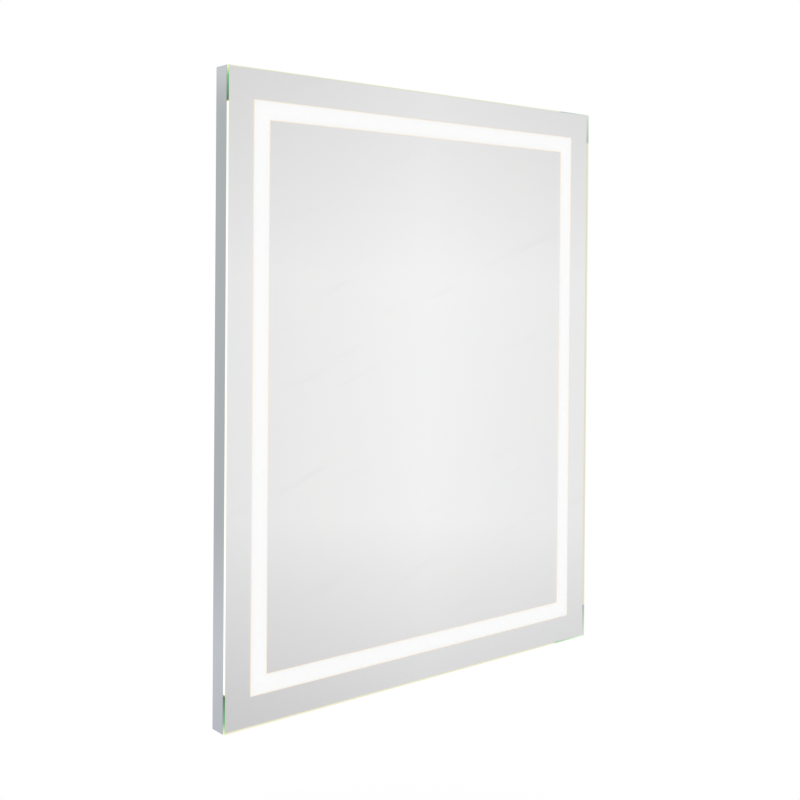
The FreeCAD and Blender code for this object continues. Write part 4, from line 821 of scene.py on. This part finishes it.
@dataclass
class MirrorFace(SubAssembly):
    """The pane, its silvering in two fields, and the etched band between them."""

    arris: float = 0.8
    band_inset: float = 46.5
    band_width: float = 30.0
    band_corner: float = 2.5
    corner_steps: int = 5
    coat: float = 0.1
    coat_seat: float = 0.05
    # How long the green ends of the upright edges are, low and high, and of the level ones, left
    # and right. They are painted into the edges' glow for the view from the front left.
    green_upright: Pair = (61.0, 55.0)
    green_level: Pair = (2.0, 82.0)
    # How far a face turns towards an edge of the glass, or towards the wall, to be part of it.
    edge_facing: float = 0.1
    wall_facing: float = 0.9

    def __post_init__(self) -> None:
        """Takes the glass's box from the frame."""
        self.low, self.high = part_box("mirror_glass")

    def build(self) -> None:
        """Models the pane and its three coats."""
        self.build_pane()
        self.build_silver("silvering_border", self.arris, self.band_inset, "silver_border")
        inner = self.band_inset + self.band_width
        self.build_silver("silvering_centre", inner, None, "silver_centre")
        self.build_band()

    def edge_finish(self, edge: Edge) -> EdgeGlow:
        """Gives the finish of one edge.

        The light leaves an edge at a slant, so from the front left the green is a little longer
        than the band's inset on the upright edges, and lies at the right end of the level ones. It
        is deep where the edge is looked into and pale where it is seen through the glass's front.
        All of this is painted light, set into each edge's glow for that one view.

        Args:
            edge: The edge.

        Returns:
            Its finish.
        """
        # Painted tones of the edges' glow, as seen from the front left.
        deep = ((0.0, "E8F4C0"), (0.3, "60B068"), (0.94, "306038"))
        pale = ((0.0, "D0DCD0"), (0.94, "A4B4A8"))
        fresh = ((0.0, "D8ECD0"), (0.94, "9CCC9C"))
        upright = (Run.UP, self.low.z / MM, self.high.z / MM, *self.green_upright)
        across = (Run.ACROSS, self.low.x / MM, self.high.x / MM, *self.green_level)
        reach, greens, fringe, lit = {
            Edge.LEFT: (upright, deep, "C8B45A", "FFFEF6"),
            Edge.RIGHT: (upright, pale, "E0DCC4", "E0DCC4"),
            Edge.BOTTOM: (across, fresh, "E8E4C8", "E8E4C8"),
            Edge.TOP: (across, pale, "E0E0C8", "E0E0C8"),
        }[edge]
        return EdgeGlow(f"glass_polished_lit_edge_{edge.name.lower()}", *reach, greens, fringe, lit)

    def build_pane(self) -> None:
        """Models the glass: a sheet with a polished arris on each edge."""
        bm = bmesh.new()
        block(bm, self.low, self.high)
        bmesh.ops.bevel(
            bm,
            geom=list(bm.edges),
            offset=self.arris * MM,
            segments=1,
            profile=0.5,
            affect="EDGES",
            material=-1,
        )
        for face in bm.faces:
            facing = [face.normal.dot(Vector(edge.value)) for edge in Edge]
            on_edge = max(facing) > self.edge_facing
            face.material_index = facing.index(max(facing)) + 1 if on_edge else 0
        finishes = [FloatGlass(), *(self.edge_finish(edge) for edge in Edge)]
        self.place(bm, "glass_pane", finishes, "float_glass", "mirror_glass")

    def coat_shape(self, inset: float, opening: float | None) -> BMesh:
        """Makes a coat: a thin plate whose front lies just inside the glass's rear face.

        Args:
            inset: How far its outline is in from the glass's edge, in millimetres.
            opening: How far its opening is in from the glass's edge, or None without one.

        Returns:
            The coat.
        """
        bm = bmesh.new()
        middle = (self.low + self.high) / 2
        size = self.high - self.low - Vector((1.0, 0.0, 1.0)) * (2 * inset * MM)
        rear = Matrix.Translation((middle.x, self.high.y + self.coat * MM, middle.z))
        upright = Matrix.Rotation(math.radians(90.0), 4, "X")
        matrix = rear @ upright @ Matrix.Diagonal((size.x, size.z, 1.0, 1.0))
        bmesh.ops.create_grid(bm, x_segments=1, y_segments=1, size=0.5, matrix=matrix)
        if opening is not None:
            self.open_coat(bm, (opening - inset) * MM)
        made = bmesh.ops.extrude_face_region(bm, geom=bm.faces[:])["geom"]
        front = [item for item in made if isinstance(item, BMVert)]
        forward = (0.0, -(self.coat + self.coat_seat) * MM, 0.0)
        bmesh.ops.translate(bm, vec=forward, verts=front)
        bmesh.ops.recalc_face_normals(bm, faces=bm.faces)
        return bm

    def open_coat(self, bm: BMesh, border: float) -> None:
        """Leaves only the border of a flat rectangle, its corners on the band's line rounded.

        Args:
            bm: The rectangle.
            border: The border's width in metres.
        """
        middle = bm.faces[:][0]
        bmesh.ops.inset_region(
            bm, faces=[middle], thickness=border, use_boundary=True, use_even_offset=True
        )
        bmesh.ops.delete(bm, geom=[middle], context="FACES_ONLY")
        line = self.high.x - self.band_inset * MM
        bmesh.ops.bevel(
            bm,
            geom=[vert for vert in bm.verts if abs(abs(vert.co.x) - line) < NEAR],
            offset=self.band_corner * MM,
            segments=self.corner_steps,
            profile=0.5,
            affect="VERTICES",
            material=-1,
        )

    def build_silver(self, name: str, inset: float, opening: float | None, node: str) -> None:
        """Models one field of the silvering, painted on its back.

        Args:
            name: The piece's name.
            inset: How far its outline is in from the glass's edge.
            opening: How far its opening is in, or None without one.
            node: The CAD node that it stands for.
        """
        bm = self.coat_shape(inset, opening)
        for face in bm.faces:
            face.material_index = 1 if face.normal.y > self.wall_facing else 0
        self.place(bm, name, [Silver(), BACKING_PAINT], "silvering", node)

    def build_band(self) -> None:
        """Models the etched band, which the light channels shine through."""
        etched = EtchedBand(
            "glass_sand_blasted_lit",
            "8A8A88",
            "8E8E8C",
            "8C8C8A",
            (0.86, 0.94),
            grain=0.5,
            depth=0.01,
            width=self.band_width,
            inset=self.band_inset,
            middle_up=(self.low.z + self.high.z) / 2 / MM,
            half_width=(self.high.x - self.low.x) / 2 / MM,
            half_height=(self.high.z - self.low.z) / 2 / MM,
        )
        bm = self.coat_shape(self.band_inset, self.band_inset + self.band_width)
        self.place(bm, "etched_band", [etched], "opal_diffuser")


@dataclass
class FrameRing(SubAssembly):
    """The four mitred rails, the keys and grub screws in their corners, and the glass's tape."""

    def finishes(self) -> dict[str, Finish]:
        """Gives each rail the finish that is drawn out along it.

        Returns:
            The finishes by node.
        """
        rails = {"top": Run.ACROSS, "bottom": Run.ACROSS, "left": Run.UP, "right": Run.UP}
        finishes = {f"frame_rail_{side}": ANODISED[run] for side, run in rails.items()}
        for side in ("top_left", "top_right", "bottom_left", "bottom_right"):
            finishes[f"corner_key_{side}"] = CAST_ZINC
        return finishes | {"corner_grub_screws": ZINC_PLATED, "frame_tape": FOAM_TAPE}


@dataclass
class LightRing(SubAssembly):
    """The light channels behind the band, with their strips, diffusers, links and tape."""

    def finishes(self) -> dict[str, Finish]:
        """Gives each side its channel, diffuser and strip.

        Returns:
            The finishes by node.
        """
        finishes: dict[str, Finish] = {"channel_tape": FOAM_TAPE}
        for side in ("top", "bottom", "left", "right"):
            finishes[f"light_channel_{side}"] = WHITE_POWDER
            finishes[f"diffuser_{side}"] = OPAL_ACRYLIC
            finishes[f"led_strip_{side}"] = LED_BOARD
        for corner in ("top_left", "top_right", "bottom_right"):
            finishes[f"strip_link_{corner}"] = WHITE_NYLON
        return finishes


# ------------------------------------------------------------------ the back


@dataclass(frozen=True)
class Fastener:
    """A screw or rivet whose head faces the wall. The recess's sizes are shares of the head's
    radius and height, and the tip's is a share of the shank's."""

    head: Head
    seat: float
    shank: float
    length: float
    head_radius: float
    head_height: float
    recess_reach: float = 0.56
    recess_wing: float = 0.13
    recess_bottom: float = 0.3
    recess_top: float = 1.1
    recess_taper: float = 0.5
    tip: float = 0.35

    def recess(self) -> BMesh:
        """Makes the tapered cross that is cut into a head.

        Returns:
            Two crossed wings that narrow towards the shank.
        """
        tool = bmesh.new()
        reach, wing = self.head_radius * self.recess_reach, self.head_radius * self.recess_wing
        bottom, top = self.head_height * self.recess_bottom, self.head_height * self.recess_top
        taper = (self.recess_taper, self.recess_taper, 1.0)
        for along, across in ((reach, wing), (wing, reach)):
            low = Vector((-along, -across, bottom)) * MM
            high = Vector((along, across, top)) * MM
            deep = [vert for vert in block(tool, low, high) if vert.co.z < low.z + NEAR]
            bmesh.ops.scale(tool, vec=taper, verts=deep)
        return tool

    def copies(self, places: Iterable[Vector]) -> BMesh:
        """Makes the fastener at each of its places.

        Args:
            places: Where they are along the wall, in metres.

        Returns:
            All of them in one mesh.
        """
        tip = self.shank * (self.tip if self.head is Head.CROSS else 1.0)
        point = [(0.0, -self.length), (tip, -self.length), (self.shank, self.shank - self.length)]
        wide, tall = self.head_radius, self.head_height
        crown = [(radius * wide, height * tall) for radius, height in self.head.value]
        bm = turned([*point, (self.shank, 0.0), *crown])
        if self.head is Head.CROSS:
            bm = cut_away(bm, self.recess())
        return repeated(to_wall(bm, -self.seat), places)


@dataclass
class BackPanel(SubAssembly):
    """The galvanised panel that closes the back, its screws and the two bumpers."""

    edge: float = 8.0
    margin: float = 70.0
    screws_across: int = 3
    screws_up: int = 4
    screw: Fastener = Fastener(
        Head.CROSS, seat=6.5, shank=1.75, length=8.0, head_radius=3.4, head_height=2.2
    )
    bumper: tuple[Pair, ...] = (
        (0.0, 0.0),
        (9.0, 0.0),
        (9.7, 0.3),
        (10.0, 1.0),
        (10.0, 5.3),
        (9.85, 5.9),
        (9.4, 6.35),
        (8.8, 6.5),
        (4.2, 6.5),
        (3.4, 6.2),
        (3.0, 5.2),
        (0.0, 5.0),
    )

    def screw_places(self) -> list[Vector]:
        """Spreads the screws along the glass's four edges.

        Returns:
            Their places.
        """
        low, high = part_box("mirror_glass")
        edge, margin = self.edge * MM, self.margin * MM
        across = spread(self.screws_across, low.x + margin, high.x - margin)
        up = spread(self.screws_up, low.z + margin, high.z - margin)
        level = [Vector((x, 0.0, z)) for x in across for z in (low.z + edge, high.z - edge)]
        beside = [Vector((x, 0.0, z)) for z in up for x in (low.x + edge, high.x - edge)]
        return level + beside

    def build(self) -> None:
        """Models the screws and the bumpers."""
        screws = self.screw.copies(self.screw_places())
        self.place(screws, "panel_screw_set", [ZINC_PLATED], "screw_steel", "panel_screws")
        nodes = ("bumper_left", "bumper_right")
        bm = to_wall(turned(self.bumper, steps=RUBBER_STEPS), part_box(nodes[0])[0].y / MM)
        bumpers = repeated(bm, [middle_of(node) for node in nodes])
        self.place(bumpers, "bumper_set", [BLACK_RUBBER], "black_rubber", *nodes)

    def finishes(self) -> dict[str, Finish]:
        """Gives the panel its galvanised sheet."""
        return {"back_panel": GALVANISED}


@dataclass
class Electrics(SubAssembly):
    """The driver, the wiring box with its cover and inlet, and the wiring between them."""

    screw: Fastener = Fastener(
        Head.CROSS, seat=5.3, shank=1.4, length=10.0, head_radius=2.8, head_height=1.8
    )
    grommet: tuple[Pair, ...] = (
        (4.25, 0.4),
        (4.65, 0.0),
        (8.4, 0.0),
        (9.0, 0.6),
        (9.0, 1.0),
        (8.4, 1.6),
        (6.5, 1.6),
        (6.5, 2.8),
        (9.0, 2.8),
        (9.0, 3.3),
        (8.2, 4.1),
        (5.2, 4.4),
        (4.25, 3.9),
        (4.25, 0.4),
    )

    def build(self) -> None:
        """Models the cover's screws and the grommet."""
        low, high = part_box("service_cover_screws")
        inward = self.screw.head_radius * MM
        columns, rows = (low.x + inward, high.x - inward), (low.z + inward, high.z - inward)
        screws = self.screw.copies([Vector((x, 0.0, z)) for x in columns for z in rows])
        self.place(screws, "cover_screw_set", [ZINC_PLATED], "screw_steel", "service_cover_screws")
        node = "cable_grommet"
        bm = to_wall(turned(self.grommet, steps=RUBBER_STEPS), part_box(node)[0].y / MM)
        bm = repeated(bm, [middle_of(node)])
        self.place(bm, "inlet_grommet", [BLACK_RUBBER], "black_rubber", node)

    def finishes(self) -> dict[str, Finish]:
        """Gives each part of the wiring its plastic, paint or metal.

        Returns:
            The finishes by node.
        """
        return {
            "led_driver": GREY_POLYCARBONATE,
            "driver_screws": ZINC_PLATED,
            "wiring_box": GREY_POWDER,
            "service_cover": GREY_POWDER,
            "terminal_block": CREAM_POLYAMIDE,
            "terminal_screws": ZINC_PLATED,
            "earth_screw": BRASS,
            "earth_lead": EARTH_PVC,
            "driver_input_cable": PVC_SHEATH,
            "driver_output_cable": PVC_SHEATH,
            "cable_clips": NATURAL_NYLON,
            "feed_connector": WHITE_NYLON,
        }


@dataclass
class Hanger(SubAssembly):
    """The rail that the mirror hangs by, and the rivets that hold it to the panel."""

    rivets: int = 6
    rivet_margin: float = 25.0
    rivet: Fastener = Fastener(
        Head.DOME, seat=4.0, shank=2.0, length=3.5, head_radius=3.8, head_height=1.1
    )

    def build(self) -> None:
        """Models the rivets, in a row along the rail."""
        low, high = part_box("hanger_rail")
        margin = self.rivet_margin * MM
        level = middle_of("hanger_rivets").z
        row = spread(self.rivets, low.x + margin, high.x - margin)
        rivets = self.rivet.copies([Vector((x, 0.0, level)) for x in row])
        self.place(rivets, "rivet_set", [RIVET_ALUMINIUM], "rivet_aluminium", "hanger_rivets")

    def finishes(self) -> dict[str, Finish]:
        """Gives the rail its mill finish."""
        return {"hanger_rail": MILL_ALUMINIUM}


@dataclass
class WallFixing(SubAssembly):
    """The rail on the wall, which the mirror's own rail drops over."""

    body: str = "wall_fixing"

    def finishes(self) -> dict[str, Finish]:
        """Gives the rail its mill finish."""
        return {"wall_rail": MILL_ALUMINIUM}


# ------------------------------------------------------------------ studio and camera


@dataclass(frozen=True)
class FloorPaint(Finish):
    """Pale matt paint that keeps shadows, and is plain white to the camera far out."""

    name: str = "studio_floor_paint"
    grain: float = 2.0
    # Where it turns to plain white, in metres, and how white it is before and after.
    fade: Pair = (2.2, 2.8)
    white: Pair = (0.8, 1.0)

    def shade(self, add: Adder) -> Node:
        """Writes speckled paint that fades into white.

        Args:
            add: Adds a node to the material.

        Returns:
            The shader.
        """
        point = add("TexCoord").outputs["Object"]
        speckle = add("TexNoise", {"Vector": point, "Scale": 1 / (self.grain * MM)})
        paint = add("Mix", {0: speckle, MIX_LOW: "F1F1F0", MIX_HIGH: "F5F5F4"}, data_type="RGBA")
        away = add("VectorMath", {0: point}, operation="LENGTH")
        (near, far), (low, high) = self.fade, self.white
        fade = {"Value": away, "From Min": near, "From Max": far, "To Min": low, "To Max": high}
        seen = add("LightPath").outputs["Is Camera Ray"]
        share = add("Math", {0: seen, 1: add("MapRange", fade)}, operation="MULTIPLY")
        matt, white = add("BsdfDiffuse", {"Color": paint}), add("Emission", {"Strength": 1.0})
        return add("MixShader", {0: share, 1: matt, 2: white})


@dataclass
class Studio:
    """A white room: a pale floor, a surround with one broad soft card, and three soft lamps."""

    floor_level: float = -1.9
    floor_reach: float = 14.0
    floor_sides: int = 96
    ambient: float = 0.62
    lamp_side: float = 2.6
    aim: Triple = (0.0, 0.0, -0.36)
    # Each lamp's place in metres and its power in watts.
    lamps: tuple[tuple[str, Triple, float], ...] = (
        ("key", (-2.2, -2.6, 2.2), 60.0),
        ("fill", (2.6, -1.8, 1.4), 34.0),
        ("rear", (0.6, 2.8, 1.8), 48.0),
    )
    card_heading: float = 41.0
    # The direction's Y at which the card starts to give way to the room, and at which it has.
    card_ends: Pair = (-0.15, 0.35)
    # A neutral white card on a grey floor. Each ramp goes by the sine of the direction plus 0.5.
    # The card from the floor up: floor, the card's foot, its middle, and its head, farther from
    # the lamps.
    card_up: Stops = ((0.1, "D0D0D0"), (0.3, "F8F8F8"), (0.5, "FAFAFA"), (0.7, "E6E6E6"))
    # The card from one side to the other: it falls off to both sides alike.
    card_across: Stops = ((0.3, "F0F0F0"), (0.5, "FFFFFF"), (0.7, "F0F0F0"))
    # The room beside and behind the mirror: near floor, lit floor, cool wall, and white ceiling.
    room_up: Stops = (
        (0.1, "E0E0E8"),
        (0.2, "F4F4F8"),
        (0.3, "DCDEE0"),
        (0.65, "DCDEE0"),
        (0.67, "FFFFFF"),
    )

    def build(self) -> None:
        """Sets the stage, the surround and the lamps."""
        bpy.context.scene.view_settings.view_transform = "Standard"
        self.lay_floor()
        self.surround()
        for lamp in self.lamps:
            self.hang_lamp(*lamp)

    def lay_floor(self) -> None:
        """Lays a plain floor about a metre under the mirror. Mirrors don't show it."""
        bm = bmesh.new()
        level = Matrix.Translation((0.0, 0.0, self.floor_level))
        bmesh.ops.create_circle(
            bm, cap_ends=True, segments=self.floor_sides, radius=self.floor_reach, matrix=level
        )
        floor = as_object(bm, "floor")
        floor.data.materials.append(FloorPaint().material())
        floor.visible_glossy = False
        floor.visible_transmission = False

    def card(self, add: Adder, way: Socket) -> Node:
        """Writes the room in front of the mirror: bright at the card's middle, grey below.

        Args:
            add: Adds a node to the world.
            way: The direction looked in.

        Returns:
            The colour.
        """
        heading = math.radians(self.card_heading)
        level = (math.cos(heading), math.sin(heading), 0.0)
        sideways = add("VectorMath", {0: way, 1: level}, operation="DOT_PRODUCT")
        height = add("SeparateXYZ", {0: way}).outputs["Z"]
        tones = []
        for sine, stops in ((height, self.card_up), (sideways, self.card_across)):
            place = add("Math", {0: sine, 1: RAMP_SHIFT}, operation="ADD")
            tones.append(add("ValToRGB", {0: place}, stops))
        return add("VectorMath", {0: tones[0], 1: tones[1]}, operation="MULTIPLY")

    def surround(self) -> None:
        """Makes the world: white to the camera, and to polished surfaces a room with a card."""
        world = bpy.data.worlds.new("studio")
        bpy.context.scene.world = world
        world.use_nodes = True
        world.node_tree.nodes.clear()
        add = partial(add_node, world.node_tree)
        way = add("TexCoord").outputs["Generated"]
        place = add("SeparateXYZ", {0: way}).outputs
        height = add("Math", {0: place["Z"], 1: RAMP_SHIFT}, operation="ADD")
        walls = add("ValToRGB", {0: height}, self.room_up)
        front, rear = self.card_ends
        behind = add("MapRange", {"Value": place["Y"], "From Min": front, "From Max": rear})
        mixed = {0: behind, MIX_LOW: self.card(add, way), MIX_HIGH: walls}
        room = add("Background", {"Color": add("Mix", mixed, data_type="RGBA")})
        rays = add("LightPath").outputs
        either = {0: rays["Is Glossy Ray"], 1: rays["Is Transmission Ray"]}
        polished = add("Math", either, operation="MAXIMUM")
        ambient = add("Background", {"Color": "FFFFFF", "Strength": self.ambient})
        unseen = add("MixShader", {0: polished, 1: ambient, 2: room})
        white = add("Background", {"Color": "FFFFFF"})
        seen = add("MixShader", {0: rays["Is Camera Ray"], 1: unseen, 2: white})
        add("OutputWorld", {"Surface": seen})

    def hang_lamp(self, name: str, place: Sequence[float], watts: float) -> None:
        """Hangs one square soft lamp that looks at the mirror's middle.

        Args:
            name: The lamp's name.
            place: Where it hangs, in metres.
            watts: Its power.
        """
        light = bpy.data.lights.new(name, "AREA")
        light.size = self.lamp_side
        light.energy = watts
        lamp = bpy.data.objects.new(name, light)
        bpy.context.scene.collection.objects.link(lamp)
        lamp.location = place
        sight = Vector(self.aim) - lamp.location
        lamp.rotation_euler = sight.to_track_quat("-Z", "Y").to_euler()
        lamp.visible_glossy = False
        lamp.visible_transmission = False


@dataclass
class Viewpoint:
    """The camera: from the front left and nearly level, with its frame shifted down. Angles are
    degrees, the place is metres and the sensor is millimetres."""

    place: Triple = (-1.3149, -1.5452, -0.1775)
    heading: float = 39.593
    pitch: float = -0.563
    roll: float = 0.445
    focal_px: float = 1175.3
    frame_px: float = 800.0
    centre_row: float = 291.0
    sensor: float = 36.0
    reach: float = 100.0

    def build(self) -> None:
        """Adds the camera and makes it the scene's own."""
        data = bpy.data.cameras.new("camera")
        data.sensor_width = self.sensor
        data.lens = self.focal_px / self.frame_px * data.sensor_width
        data.shift_y = (self.centre_row - self.frame_px / 2) / self.frame_px
        data.clip_end = self.reach
        heading, pitch, roll = (math.radians(a) for a in (self.heading, self.pitch, self.roll))
        upright = math.radians(90.0) + pitch
        turn = Matrix.Rotation(-heading, 4, "Z") @ Matrix.Rotation(upright, 4, "X")
        camera = bpy.data.objects.new("camera", data)
        bpy.context.scene.collection.objects.link(camera)
        camera.matrix_world = (
            Matrix.Translation(self.place) @ turn @ Matrix.Rotation(roll, 4, "Z")
        )
        bpy.context.scene.camera = camera


def main() -> None:
    """Builds the sub-assemblies, the studio and the camera, and notes the sizes."""
    for kind in (MirrorFace, FrameRing, LightRing, BackPanel, Electrics, Hanger, WallFixing):
        log.info("building %s", kind.__name__)
        assembly = kind()
        assembly.build()
        assembly.dress()
    Studio().build()
    Viewpoint().build()


if __name__ == "__main__":
    main()
